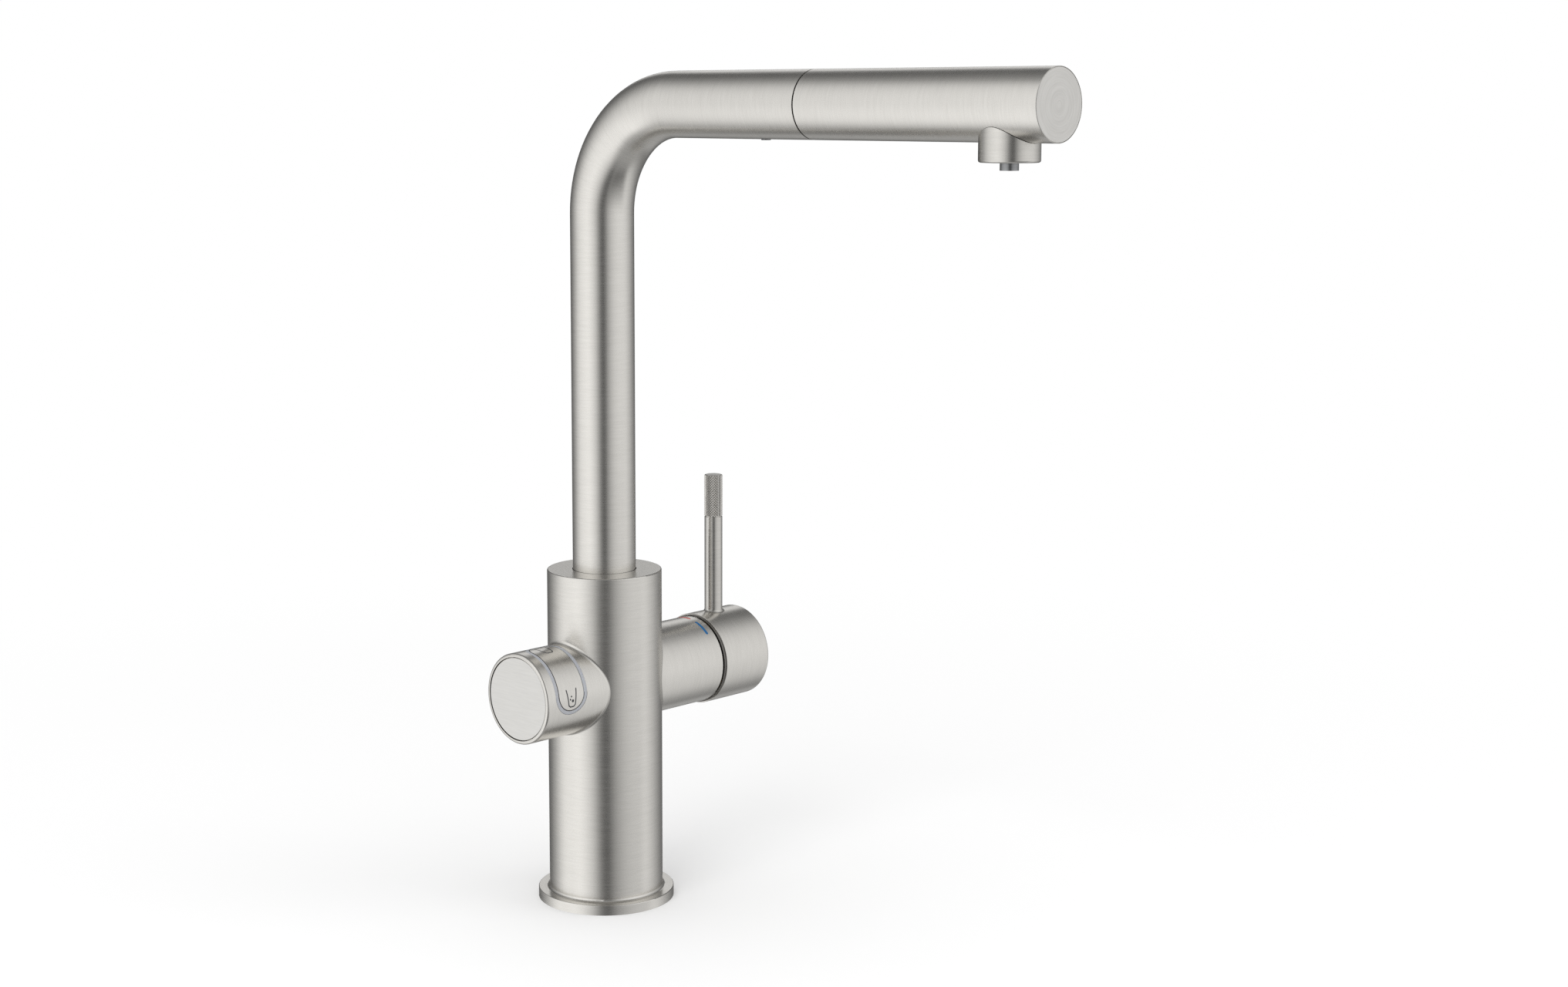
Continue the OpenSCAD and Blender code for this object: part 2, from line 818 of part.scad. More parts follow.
module hose_union() {
    color(brass) translate([0, 0, union_z]) difference() {
        union() {
            cylinder(d = union_d, h = union_len);
            translate([0, 0, union_len]) cylinder(d = union_hex_d, h = union_hex_h, $fn = nut_corners);
        }
        translate([0, 0, -overrun])
            cylinder(r = hose_r - hose_wall, h = union_len + union_hex_h - union_web_t + overrun);
        translate([0, 0, union_len]) cylinder(r = line_r, h = union_hex_h + overrun);
        for (i = [0 : web_holes - 1]) rotate([0, 0, i * turn / web_holes])
            translate([(line_r + hose_r - hose_wall) / 2, 0, union_len])
                cylinder(d = web_hole_d, h = union_hex_h + overrun);
    }
}

// Spray head
module nozzle_hole(r) {
    translate([0, -nozzle_at, rim_z - overrun]) cylinder(r = r, h = nozzle_drop + overrun);
}

module spray_shell() {
    color(steel) difference() {
        along_spout(seam_out) rotate_extrude() difference() {
            square([tube_r, head_len]);
            translate([0, -overrun]) square([head_bore_r, spout_reach]);
            translate([0, head_len - cap_plate_t - cap_plate_sunk])
                square([cap_plate_r, cap_plate_t + overrun]);
            round_off(tube_r, head_len, end_round);
        }
        nozzle_hole(nozzle_bore_r);
    }
}

module head_cap() {
    color(steel) along_spout(spout_reach - cap_plate_sunk - cap_plate_t)
        cylinder(r = cap_plate_r, h = cap_plate_t);
}

module head_manifold() {
    length = head_len - cap_plate_sunk - cap_plate_t - manifold_front - manifold_back;
    color(plastic) difference() {
        along_spout(seam_out + manifold_back) cylinder(r = manifold_r, h = length);
        nozzle_hole(nozzle_bore_r);
        along_spout(seam_out) cylinder(d = manifold_way_d, h = nozzle_at - seam_out);
    }
}

module dock_spigot() {
    color(plastic) {
        along_spout(seam_out - spigot_len) ring(spigot_r, ferrule_r, spigot_len + manifold_back);
        along_spout(seam_out) ring(head_bore_r, spigot_r, spigot_plate_t);
    }
}

module hose_ferrule() {
    color(brass) along_spout(ferrule_end - ferrule_len) ring(ferrule_r, hose_r - hose_wall, ferrule_len);
}

module nozzle_collar() {
    color(steel) difference() {
        translate([0, -nozzle_at, rim_z]) rotate_extrude() difference() {
            translate([neck_r, 0]) square([nozzle_r - neck_r, nozzle_drop]);
            translate([nozzle_r - nozzle_round, nozzle_round]) rotate(-square_turn) difference() {
                square(nozzle_round + overrun);
                circle(r = nozzle_round);
            }
        }
        difference() {
            along_spout(0) cylinder(r = tube_r + nozzle_seam, h = spout_reach + tube_d);
            nozzle_hole(nozzle_bore_r);
        }
    }
}

module aerator() {
    color([0.6, 0.6, 0.6]) translate([0, -nozzle_at, rim_z + aerator_sunk]) difference() {
        ring(neck_r, outlet_r, aerator_h);
        for (row = [0, 1], i = [0 : aerator_holes[row] - 1])
            rotate([0, 0, i * turn / aerator_holes[row]])
                translate([neck_r * aerator_row_shares[row], 0, -overrun])
                    cylinder(r = neck_r * aerator_hole_share, h = aerator_h + 2 * overrun);
    }
}

module filtered_outlet() {
    color([0.66, 0.66, 0.65]) translate([0, -nozzle_at, rim_z - outlet_proud])
        ring(outlet_r, outlet_r - outlet_wall, outlet_h);
}

base_ring();
base_seal();
fixing_shank();
rubber_washer();
clamp_washer();
fixing_nut();
body_shell();
valve_block();
cable_grommet();
hose_guide();
thrust_washer();
swivel_bush();
swivel_stop();
mixer_sleeve();
cartridge_body();
cartridge_nut();
fixed_disc();
cold_mark();
hot_mark();
control_housing();
control_face();
control_carrier();
light_ring();
switch_board();
key_switches();
rocker_pin();
spout_tube();
spout_foot();
docking_sleeve();
dock_screw();
pull_hose();
filter_line();
hose_union();
spray_shell();
head_cap();
head_manifold();
dock_spigot();
hose_ferrule();
nozzle_collar();
aerator();
filtered_outlet();
cartridge_carrier();
moving_disc();
stem_pin();
cartridge_stem();
handle_cap();
lever_rod();
lever_screw();
selector_rocker();
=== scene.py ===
import json
import logging
import math
from dataclasses import dataclass
from enum import Enum
from typing import Callable, Sequence, Union

import bpy
from bpy.types import ColorRamp, Material, Mesh, MeshVertex, Node, NodeSocket, NodeTree
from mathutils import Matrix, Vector


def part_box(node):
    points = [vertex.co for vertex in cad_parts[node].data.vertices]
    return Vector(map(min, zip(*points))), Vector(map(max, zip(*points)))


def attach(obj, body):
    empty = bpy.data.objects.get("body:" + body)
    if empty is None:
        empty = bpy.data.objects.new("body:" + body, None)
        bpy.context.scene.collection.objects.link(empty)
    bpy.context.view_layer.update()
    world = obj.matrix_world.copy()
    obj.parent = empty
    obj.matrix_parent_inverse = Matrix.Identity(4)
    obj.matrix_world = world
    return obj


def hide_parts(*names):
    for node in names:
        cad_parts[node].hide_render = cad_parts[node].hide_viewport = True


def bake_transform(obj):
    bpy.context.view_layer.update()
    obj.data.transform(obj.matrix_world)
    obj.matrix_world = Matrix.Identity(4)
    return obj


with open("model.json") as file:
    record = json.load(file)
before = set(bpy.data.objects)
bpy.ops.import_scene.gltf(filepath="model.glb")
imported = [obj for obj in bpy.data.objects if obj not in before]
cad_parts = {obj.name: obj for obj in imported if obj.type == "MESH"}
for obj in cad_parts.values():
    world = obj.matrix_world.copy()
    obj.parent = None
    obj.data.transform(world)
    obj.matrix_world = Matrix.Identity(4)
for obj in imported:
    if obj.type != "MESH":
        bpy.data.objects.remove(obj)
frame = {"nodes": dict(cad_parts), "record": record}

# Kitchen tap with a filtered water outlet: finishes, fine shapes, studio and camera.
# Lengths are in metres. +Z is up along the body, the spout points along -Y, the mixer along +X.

LOG = logging.getLogger("kitchen_tap")
MM = 0.001
Colour = tuple[float, float, float]
Point = tuple[float, float, float]
Station = tuple[float, float]
Axis = tuple[Point, Point]


@dataclass(frozen=True)
class Sizes:
    """Places that several pieces share."""

    body_r: float = 25.5 * MM
    arm_h: float = 99.5 * MM
    barrel_r: float = 20.0 * MM
    sleeve_r: float = 19.9 * MM
    cap_r: float = 20.9 * MM
    lever_at: float = 69.2 * MM
    spout_h: float = 354.5 * MM
    bend_r: float = 47 * MM
    nozzle_at: float = 221.3 * MM


PLACES = Sizes()
ZERO = (0.0, 0.0, 0.0)

# Axes that pieces are turned on, each as a point and the turn in degrees that lays Z along it
BODY_AXIS = (ZERO, ZERO)
ARM_AXIS = ((0.0, 0.0, PLACES.arm_h), (0.0, 90.0, 0.0))
KNOB_AXIS = ((0.0, 0.0, PLACES.arm_h), (0.0, -90.0, 0.0))
SPOUT_AXIS = ((0.0, 0.0, PLACES.spout_h), (90.0, 0.0, 0.0))
LEVER_AXIS = ((PLACES.lever_at, 0.0, 0.0), ZERO)


# Shader maths

def maths(operation: str, swapped: bool = False) -> Callable[..., "Signal"]:
    """Makes a method of Signal that adds one Math node.

    Args:
        operation: the Math node's operation.
        swapped: True where the signal is the second operand.

    Returns:
        The method, which takes the other operand, if any, and gives the node's result.
    """
    def method(signal: "Signal", *others: "Operand") -> "Signal":
        """Adds the node."""
        operands = (*others, signal) if swapped else (signal, *others)
        return signal.graph.signal("Math", dict(enumerate(operands)), operation=operation)
    return method


class Signal:
    """A number that runs between shader nodes, with Python's arithmetic.

    The size of a signal is its absolute value. It is 1 over a smaller operand and 0 over
    another. Its angle, in radians, is the one whose tangent is the signal by the operand.
    """

    __add__ = __radd__ = maths("ADD")
    __mul__ = __rmul__ = maths("MULTIPLY")
    __sub__, __rsub__ = maths("SUBTRACT"), maths("SUBTRACT", swapped=True)
    __truediv__ = maths("DIVIDE")
    root, size, fraction = maths("SQRT"), maths("ABSOLUTE"), maths("FRACT")
    least, most = maths("MINIMUM"), maths("MAXIMUM")
    over, angle = maths("GREATER_THAN"), maths("ARCTAN2")

    def __init__(self, graph: "Graph", socket: NodeSocket) -> None:
        """Wraps an output socket of a graph."""
        self.graph = graph
        self.socket = socket

    def __neg__(self) -> "Signal":
        """Opposite sign."""
        return self * -1.0

    def smooth(self, low: float, high: float) -> "Signal":
        """Ramps from 0 at low to 1 at high with soft ends."""
        return self.graph.signal("MapRange", {0: self, 1: low, 2: high},
                                 interpolation_type="SMOOTHSTEP")

    def band(self, rise: Station, fall: Station) -> "Signal":
        """Ramps up to 1 over the first range and down to 0 over the second."""
        return self.smooth(*rise) * (1.0 - self.smooth(*fall))


Operand = Union[Signal, float]


class Graph:
    """The shader nodes of one material, or of the world."""

    def __init__(self, tree: NodeTree) -> None:
        """Empties a node tree and takes it over."""
        self.tree = tree
        tree.nodes.clear()

    def node(self, kind: str, values: dict | None = None, **settings: object) -> Node:
        """Adds a node.

        Args:
            kind: the shader node's type.
            values: a number, colour, signal or socket for each input, by name or index.
            settings: its properties, set before its inputs. "stops" fills a colour ramp.

        Returns:
            The new node.
        """
        node = self.tree.nodes.new("ShaderNode" + kind)
        for key, value in settings.items():
            if key == "stops":
                self._fill_ramp(node.color_ramp, value)
            else:
                setattr(node, key, value)
        for key, value in (values or {}).items():
            if isinstance(value, Signal):
                value = value.socket
            if isinstance(value, NodeSocket):
                self.tree.links.new(value, node.inputs[key])
            else:
                node.inputs[key].default_value = value
        return node

    @staticmethod
    def _fill_ramp(ramp: ColorRamp, stops: Sequence[Station]) -> None:
        """Puts grey stops of (position, level) on a colour ramp.

        Args:
            ramp: the ramp.
            stops: the stops in their order.
        """
        while len(ramp.elements) > 1:
            ramp.elements.remove(ramp.elements[-1])
        for number, (position, level) in enumerate(stops):
            element = ramp.elements[0] if number == 0 else ramp.elements.new(position)
            element.position = position
            element.color = (level, level, level, 1.0)

    def signal(self, kind: str, values: dict | None = None, **settings: object) -> Signal:
        """Adds a node and gives its first output."""
        return Signal(self, self.node(kind, values, **settings).outputs[0])

    def place(self, output: str = "Object") -> list[Signal]:
        """The point on the surface in the frame of the tap, or another coordinate."""
        vector = self.node("TexCoord").outputs[output]
        return [Signal(self, part) for part in self.node("SeparateXYZ", {0: vector}).outputs]

    def rays(self, *kinds: str) -> list[Signal]:
        """1 for each kind that the traced ray is, and 0 for the others."""
        paths = self.node("LightPath").outputs
        return [Signal(self, paths[f"Is {kind} Ray"]) for kind in kinds]

    def vector(self, x: Operand, y: Operand, z: Operand) -> NodeSocket:
        """Three numbers as one vector."""
        return self.node("CombineXYZ", {0: x, 1: y, 2: z}).outputs[0]

    def noise(self, vector: NodeSocket, scale: float, detail: float = 2.0,
              rough: float = 0.5) -> Signal:
        """Cloudy noise of about 0 to 1 at a vector."""
        return self.signal("TexNoise", {"Vector": vector, "Scale": scale, "Detail": detail,
                                        "Roughness": rough})

    def mix(self, share: Operand, first: Colour, second: Colour) -> NodeSocket:
        """A colour between two."""
        values = {0: share, 6: (*first, 1.0), 7: (*second, 1.0)}
        return self.node("Mix", values, data_type="RGBA").outputs[2]

    def bump(self, height: Signal, distance: float) -> NodeSocket:
        """A normal that is tilted by a height."""
        values = {"Height": height, "Distance": distance, "Strength": 1.0}
        return self.node("Bump", values).outputs[0]


def new_material(name: str) -> tuple[Material, Graph]:
    """A material with an empty graph.

    Args:
        name: its name.

    Returns:
        The material and its graph.
    """
    material = bpy.data.materials.new(name)
    material.use_nodes = True
    return material, Graph(material.node_tree)


def spout_run(y: Signal, z: Signal) -> Signal:
    """How far a point lies along the spout: up the riser, round the bend, along the arm.

    Args:
        y: the point's place along Y, and likewise z.

    Returns:
        The length, which is 0 where the bend starts and below 0 on the riser.
    """
    rise = z - (PLACES.spout_h - PLACES.bend_r)
    reach = y + PLACES.bend_r
    turn = rise.most(0.0).angle(reach.most(0.01 * MM))
    return rise.least(0.0) + turn * PLACES.bend_r + (-reach).most(0.0)


# Finishes

class Grain(Enum):
    """Which way the fine lines of a brushed surface run.

    Rings are given by the number of their axis, 0 for X to 2 for Z, and a point on it.
    """

    ROUND_BODY = (2, ZERO)
    ROUND_ARM = (0, ARM_AXIS[0])
    ROUND_LEVER = (2, LEVER_AXIS[0])
    ROUND_NOZZLE = (2, (0.0, -PLACES.nozzle_at, 0.0))
    ROUND_HEAD = (1, SPOUT_AXIS[0])
    ALONG_SPOUT = "rings that follow the spout round its bend"
    LEVEL = "straight level lines"

    def run(self, x: Signal, y: Signal, z: Signal) -> tuple[Signal, Signal, Signal]:
        """Where a point lies along and across the lines.

        Args:
            x: the point's place along X, and likewise y and z.

        Returns:
            Two slow directions along a line and the quick one across the lines.
        """
        if self is Grain.LEVEL:
            return x, y, z
        if self is Grain.ALONG_SPOUT:
            return x, z + y, spout_run(y, z)
        axis, middle = self.value
        offsets = [place - centre for place, centre in zip((x, y, z), middle)]
        along = offsets.pop(axis)
        first, second = offsets
        return first, second, along + (first * first + second * second).root()


@dataclass(frozen=True)
class Finish:
    """A finish, whose kinds each work out their own shader."""

    name: str

    def sockets(self, graph: Graph) -> dict:
        """Numbers, colours and links of the Principled shader, by socket."""
        raise NotImplementedError

    def material(self) -> Material:
        """The finish as a material.

        Returns:
            The material.
        """
        material, graph = new_material(self.name)
        shader = graph.node("BsdfPrincipled", self.sockets(graph))
        graph.node("OutputMaterial", {0: shader.outputs[0]})
        return material


@dataclass(frozen=True)
class BrushedMetal(Finish):
    """Satin metal with fine brushed lines, faint smudges and a slightly uneven tone."""

    grain: Grain
    colour: Colour = (0.752, 0.733, 0.696)
    darker: Colour = (0.679, 0.662, 0.627)
    roughness: float = 0.27
    spread: float = 0.10
    lines: float = 3200.0
    along: float = 130.0
    depth: float = 0.005 * MM
    streak: Station = (0.7, 0.35)
    smudges: float = 38.0
    clouds: float = 9.0
    smear: float = 0.05

    def sockets(self, graph: Graph) -> dict:
        """Lines tilt and tint the surface, and smudges and clouds make it uneven.

        Args:
            graph: the material's graph.

        Returns:
            Numbers, colours and links by socket.
        """
        x, y, z = graph.place()
        first, second, across = self.grain.run(x, y, z)

        def drawn(along: float, lines: float, detail: float, rough: float) -> Signal:
            """Noise that is drawn out along the lines."""
            vector = graph.vector(first * along, second * along, across * lines)
            return graph.noise(vector, 1.0, detail, rough)

        lines = drawn(self.along, self.lines, 3.0, 0.6)
        streaks = drawn(self.along * self.streak[0], self.lines * self.streak[1], 2.0, 0.5)
        place = graph.vector(x, y, z)
        smudge = graph.noise(place, self.smudges, 3.0, 0.55)
        tone = lines * 0.5 + streaks * 0.45 + graph.noise(place, self.clouds) * 0.15
        return {"Base Color": graph.mix(tone.smooth(0.30, 0.80), self.darker, self.colour),
                "Metallic": 1.0,
                "Roughness": ((lines - 0.5) * self.spread + (smudge - 0.5) * self.smear
                              + self.roughness),
                "Normal": graph.bump(lines, self.depth)}


@dataclass(frozen=True)
class KnurledMetal(Finish):
    """Bright peaks of the lever's grip and painted shade in its dark furrows."""

    low: float
    high: float
    bright: Colour = (0.76, 0.74, 0.705)
    # colour deep in the furrows: painted shade
    furrow_shade: Colour = (0.15, 0.145, 0.135)
    jitter_scale: float = 900.0
    depth: float = 0.01 * MM

    def sockets(self, graph: Graph) -> dict:
        """Painted shade darkens the furrows by their height above the rod, with an edge that noise
        jitters a little.

        Args:
            graph: the material's graph.

        Returns:
            Numbers, colours and links by socket.
        """
        x, y, z = graph.place()
        out = x - PLACES.lever_at
        rise = (out * out + y * y).root().smooth(self.low, self.high)
        jitter = graph.noise(graph.vector(x, y, z), self.jitter_scale)
        # painted shade mask: 0 deep in the furrows, 1 on the peaks
        unshaded = (rise + (jitter - 0.5) * 0.25).smooth(0.05, 0.75)
        return {"Base Color": graph.mix(unshaded, self.furrow_shade, self.bright), "Metallic": 1.0,
                "Roughness": 0.55 - unshaded * 0.20, "Normal": graph.bump(jitter, self.depth)}


@dataclass(frozen=True)
class Moulded(Finish):
    """Moulded plastic, rubber or fired ceramic with a fine skin."""

    colour: Colour
    second: Colour
    roughness: float = 0.45
    skin: float = 2600.0
    depth: float = 0.01 * MM
    coat: float = 0.0
    subsurface: float = 0.0
    patches: float = 60.0

    def sockets(self, graph: Graph) -> dict:
        """A fine skin tilts the surface, and broad patches tint it.

        Args:
            graph: the material's graph.

        Returns:
            Numbers, colours and links by socket.
        """
        place = graph.vector(*graph.place())
        fine = graph.noise(place, self.skin, 2.0, 0.6)
        broad = graph.noise(place, self.patches, 3.0)
        return {"Base Color": graph.mix(broad.smooth(0.3, 0.7), self.colour, self.second),
                "Roughness": (fine - 0.5) * 0.12 + (broad - 0.5) * 0.08 + self.roughness,
                "Coat Weight": self.coat, "Coat Roughness": 0.12,
                "Subsurface Weight": self.subsurface,
                "Normal": graph.bump(fine, self.depth)}


@dataclass(frozen=True)
class BraidedHose(Finish):
    """Woven sleeve of a pull-out hose, two sets of strands that cross."""

    colour: Colour = (0.30, 0.31, 0.33)
    dark: Colour = (0.05, 0.05, 0.055)
    strands: int = 14
    pitch: float = 9 * MM
    depth: float = 0.25 * MM

    def sockets(self, graph: Graph) -> dict:
        """Strands that run round the hose both ways, on the riser and on the level arm.

        Args:
            graph: the material's graph.

        Returns:
            Numbers, colours and links by socket.
        """
        x, y, z = graph.place()
        level = (-(y + PLACES.bend_r)).over(0.0)
        out = y * (1.0 - level) + (z - PLACES.spout_h) * level
        turns = out.angle(x) * (self.strands / math.tau)
        rows = spout_run(y, z) / self.pitch * (self.strands / 4.0)
        one, two = ((lean.fraction() - 0.5).size() for lean in (turns + rows, turns - rows))
        weave = one.most(two) * 2.0
        return {"Base Color": graph.mix(weave, self.dark, self.colour),
                "Roughness": 0.62 - weave * 0.2, "Normal": graph.bump(weave, self.depth)}


@dataclass(frozen=True)
class CircuitBoard(Finish):
    """Green lacquered board with copper tracks."""

    lacquer: Colour = (0.02, 0.13, 0.06)
    track: Colour = (0.08, 0.27, 0.13)
    scale: float = 420.0
    depth: float = 0.03 * MM

    def sockets(self, graph: Graph) -> dict:
        """Tracks follow the edges of square cells.

        Args:
            graph: the material's graph.

        Returns:
            Numbers, colours and links by socket.
        """
        cells = graph.signal("TexVoronoi", {
            "Vector": graph.vector(*graph.place()), "Scale": self.scale,
            "Randomness": 0.4}, distance="MANHATTAN")
        tracks = cells.smooth(0.42, 0.5)
        return {"Base Color": graph.mix(tracks, self.lacquer, self.track),
                "Roughness": tracks * 0.1 + 0.34, "Coat Weight": 0.4,
                "Normal": graph.bump(tracks, self.depth)}


SKINS: dict[str, Finish] = {
    "dull_steel": BrushedMetal("dull_steel_skin", Grain.LEVEL, (0.56, 0.55, 0.53),
                               (0.48, 0.47, 0.45), 0.42),
    "dark_screw": BrushedMetal("dark_screw_skin", Grain.LEVEL, (0.14, 0.14, 0.145),
                               (0.09, 0.09, 0.095), 0.40),
    "brass": BrushedMetal("turned_brass", Grain.ROUND_BODY, (0.80, 0.60, 0.28),
                          (0.70, 0.51, 0.22), 0.34),
    "control_face": BrushedMetal("pale_brushed_face", Grain.LEVEL, (0.785, 0.775, 0.75),
                                 (0.72, 0.71, 0.685), 0.34),
    # Neck: near black steel, painted shade for the gap between the sleeve and the cap
    "neck_painted_shade": BrushedMetal("neck_painted_shade", Grain.ROUND_ARM, (0.030, 0.029, 0.027),
                               (0.022, 0.021, 0.020), 0.50),
    # Lip: dark grey steel, painted shade for the cap's mouth in the gap
    "lip_painted_shade": BrushedMetal("lip_painted_shade", Grain.ROUND_ARM, (0.26, 0.25, 0.235),
                              (0.22, 0.21, 0.20), 0.45),
    "filtered_outlet": BrushedMetal("outlet_skin", Grain.ROUND_NOZZLE, (0.33, 0.335, 0.34),
                                    (0.27, 0.275, 0.28), 0.30),
    "rubber": Moulded("black_rubber", (0.022, 0.022, 0.024), (0.035, 0.035, 0.036), 0.62),
    "light_plastic": Moulded("pale_plastic", (0.74, 0.75, 0.76), (0.66, 0.67, 0.69), 0.40),
    "dark_plastic": Moulded("charcoal_plastic", (0.040, 0.042, 0.047), (0.058, 0.060, 0.066),
                            0.46),
    "aerator_plastic": Moulded("aerator_skin", (0.30, 0.30, 0.305), (0.25, 0.25, 0.26), 0.42),
    "circuit_board": CircuitBoard("green_board"),
    "light_ring": Moulded("ring_lens", (0.400, 0.405, 0.430), (0.365, 0.370, 0.395), 0.40,
                          900.0, 0.002 * MM, 0.10, 0.05),
    "blue_mark": Moulded("blue_enamel", (0.002, 0.095, 0.250), (0.003, 0.110, 0.290)),
    "red_mark": Moulded("red_enamel", (0.540, 0.055, 0.040), (0.600, 0.070, 0.050)),
    "ink": Moulded("charcoal_ink", (0.030, 0.031, 0.034), (0.045, 0.046, 0.050), 0.42),
    "ceramic": Moulded("fired_ceramic", (0.80, 0.79, 0.76), (0.76, 0.75, 0.72), 0.22, coat=0.3),
    "hose": BraidedHose("braided_sleeve"),
    "clear_line": Moulded("milky_line", (0.62, 0.66, 0.72), (0.70, 0.74, 0.80), 0.25,
                          coat=0.5, subsurface=0.3),
}

# Steel in other tones: the lever's and the nozzle's are darker copies of the steel as painted
# shade, the head disc's is a brighter copy as painted light with its own rougher, coarser lines;
# and what wears each run of lines
STEEL_TONES_WITH_PAINTED_LIGHT = {
    # painted shade: darker copies of the steel for the lever and the nozzle
    Grain.ROUND_LEVER: ((0.665, 0.648, 0.615), (0.590, 0.575, 0.545)),
    Grain.ROUND_NOZZLE: ((0.680, 0.663, 0.628), (0.610, 0.595, 0.563)),
    # painted light: a brighter copy of the steel for the head disc, which also has rougher,
    # coarser lines
    Grain.ROUND_HEAD: ((0.80, 0.788, 0.762), (0.665, 0.653, 0.627), 0.38, 0.20, 2300.0, 110.0,
                       0.010 * MM),
    Grain.ALONG_SPOUT: ((0.750, 0.731, 0.695), (0.675, 0.658, 0.624)),
}
STEEL_WEARERS = {
    Grain.ROUND_BODY: ("brushed_steel",),
    Grain.ROUND_ARM: ("mixer_sleeve", "handle_cap", "control_housing", "selector_rocker"),
    Grain.ROUND_LEVER: ("lever_rod",),
    Grain.ROUND_NOZZLE: ("nozzle_collar",),
    Grain.ROUND_HEAD: ("head_cap",),
    Grain.ALONG_SPOUT: ("spout_tube", "spray_shell"),
}


def finishes() -> dict[str, Material]:
    """Makes every material.

    Returns:
        Materials by the name of a slot of the record, of a solid, or of a finer piece.
    """
    table = {name: skin.material() for name, skin in SKINS.items()}
    for grain, names in STEEL_WEARERS.items():
        steel = BrushedMetal(f"brushed_{grain.name.lower()}", grain,
                             *STEEL_TONES_WITH_PAINTED_LIGHT.get(grain, ())).material()
        table.update({name: steel for name in names})
    return table


def coat(mesh: Mesh, material: Material) -> None:
    """Gives a mesh one material."""
    mesh.materials.clear()
    mesh.materials.append(material)


# Modelling

class Piece:
    """A mesh with the steps that shape it. Most of them return it for the next step."""

    def __init__(self, name: str, add: Callable[..., object], **settings: object) -> None:
        """Adds a mesh to shape further.

        Args:
            name: the new object's name.
            add: what adds it and leaves it active, such as one of Blender's operators.
            settings: what that takes.
        """
        bpy.ops.object.select_all(action="DESELECT")
        add(**settings)
        self.object = bpy.context.active_object
        self.object.name = name

    def vertices(self) -> Sequence[MeshVertex]:
        """The mesh's points as they are now."""
        return self.object.data.vertices

    def pick(self) -> None:
        """Selects the piece alone and makes it active."""
        bpy.ops.object.select_all(action="DESELECT")
        self.object.select_set(True)
        bpy.context.view_layer.objects.active = self.object

    def edit(self) -> None:
        """Opens the piece in edit mode with everything selected."""
        self.pick()
        bpy.ops.object.mode_set(mode="EDIT")
        bpy.ops.mesh.select_all(action="SELECT")

    @staticmethod
    def close() -> None:
        """Goes back to object mode."""
        bpy.ops.object.mode_set(mode="OBJECT")

    def tidy(self, merge: float = 1e-7) -> "Piece":
        """Merges doubled points and turns all faces outwards.

        Args:
            merge: points that are closer than this become one.

        Returns:
            The piece.
        """
        self.edit()
        bpy.ops.mesh.remove_doubles(threshold=merge)
        bpy.ops.mesh.normals_make_consistent(inside=False)
        self.close()
        return self

    def put(self, place: Point = ZERO, turn: Point = ZERO) -> "Piece":
        """Turns the piece round its origin, moves that to a place, and bakes both.

        Args:
            place: where the origin goes.
            turn: the rotation about X, Y and Z, in degrees.

        Returns:
            The piece.
        """
        self.pick()
        self.object.rotation_euler = tuple(math.radians(a) for a in turn)
        self.object.location = place
        bpy.ops.object.transform_apply(location=True, rotation=True, scale=True)
        return self

    def modify(self, kind: str, **settings: object) -> "Piece":
        """Adds a modifier and applies it.

        Args:
            kind: the modifier's type.
            settings: its properties.

        Returns:
            The piece.
        """
        self.pick()
        modifier = self.object.modifiers.new(kind.title(), kind)
        for key, value in settings.items():
            setattr(modifier, key, value)
        bpy.ops.object.modifier_apply(modifier=modifier.name)
        return self

    def cut(self, tool: "Piece", operation: str = "DIFFERENCE") -> "Piece":
        """Cuts the piece with a tool, and puts the tool away.

        Args:
            tool: what cuts it.
            operation: the kind of cut.

        Returns:
            The piece.
        """
        self.modify("BOOLEAN", object=tool.object, operation=operation)
        bpy.data.objects.remove(tool.object)
        return self

    def drill(self, radius: float, depth: float, centre: Point, sides: int = 96) -> "Piece":
        """Cuts an upright hole of a height of depth, with its middle at the centre."""
        return self.cut(Piece("drill", bpy.ops.mesh.primitive_cylinder_add, vertices=sides,
                              radius=radius, depth=depth, location=centre))

    def polish(self, angle: float = 32.0) -> "Piece":
        """Shades the piece smooth where faces meet at less than an angle in degrees.

        Args:
            angle: that angle.

        Returns:
            The piece.
        """
        self.pick()
        bpy.ops.object.shade_smooth_by_angle(angle=math.radians(angle))
        return self.modify("WEIGHTED_NORMAL", keep_sharp=True, weight=80)

    def dress(self, material: Material, body: str, slot: str, *stands_for: str) -> None:
        """Gives the finished piece its material and body, and hides the solids that it replaces.

        Args:
            material: its finish.
            body: the moving body that it rides on.
            slot: the record's material slot, which is not used.
            stands_for: the solids that it replaces.
        """
        piece = self.object
        coat(piece.data, material)
        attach(piece, body)
        if stands_for:
            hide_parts(*stands_for)
        LOG.info("piece %s on %s: %d faces, %s", piece.name, body,
                 len(piece.data.polygons), material.name)


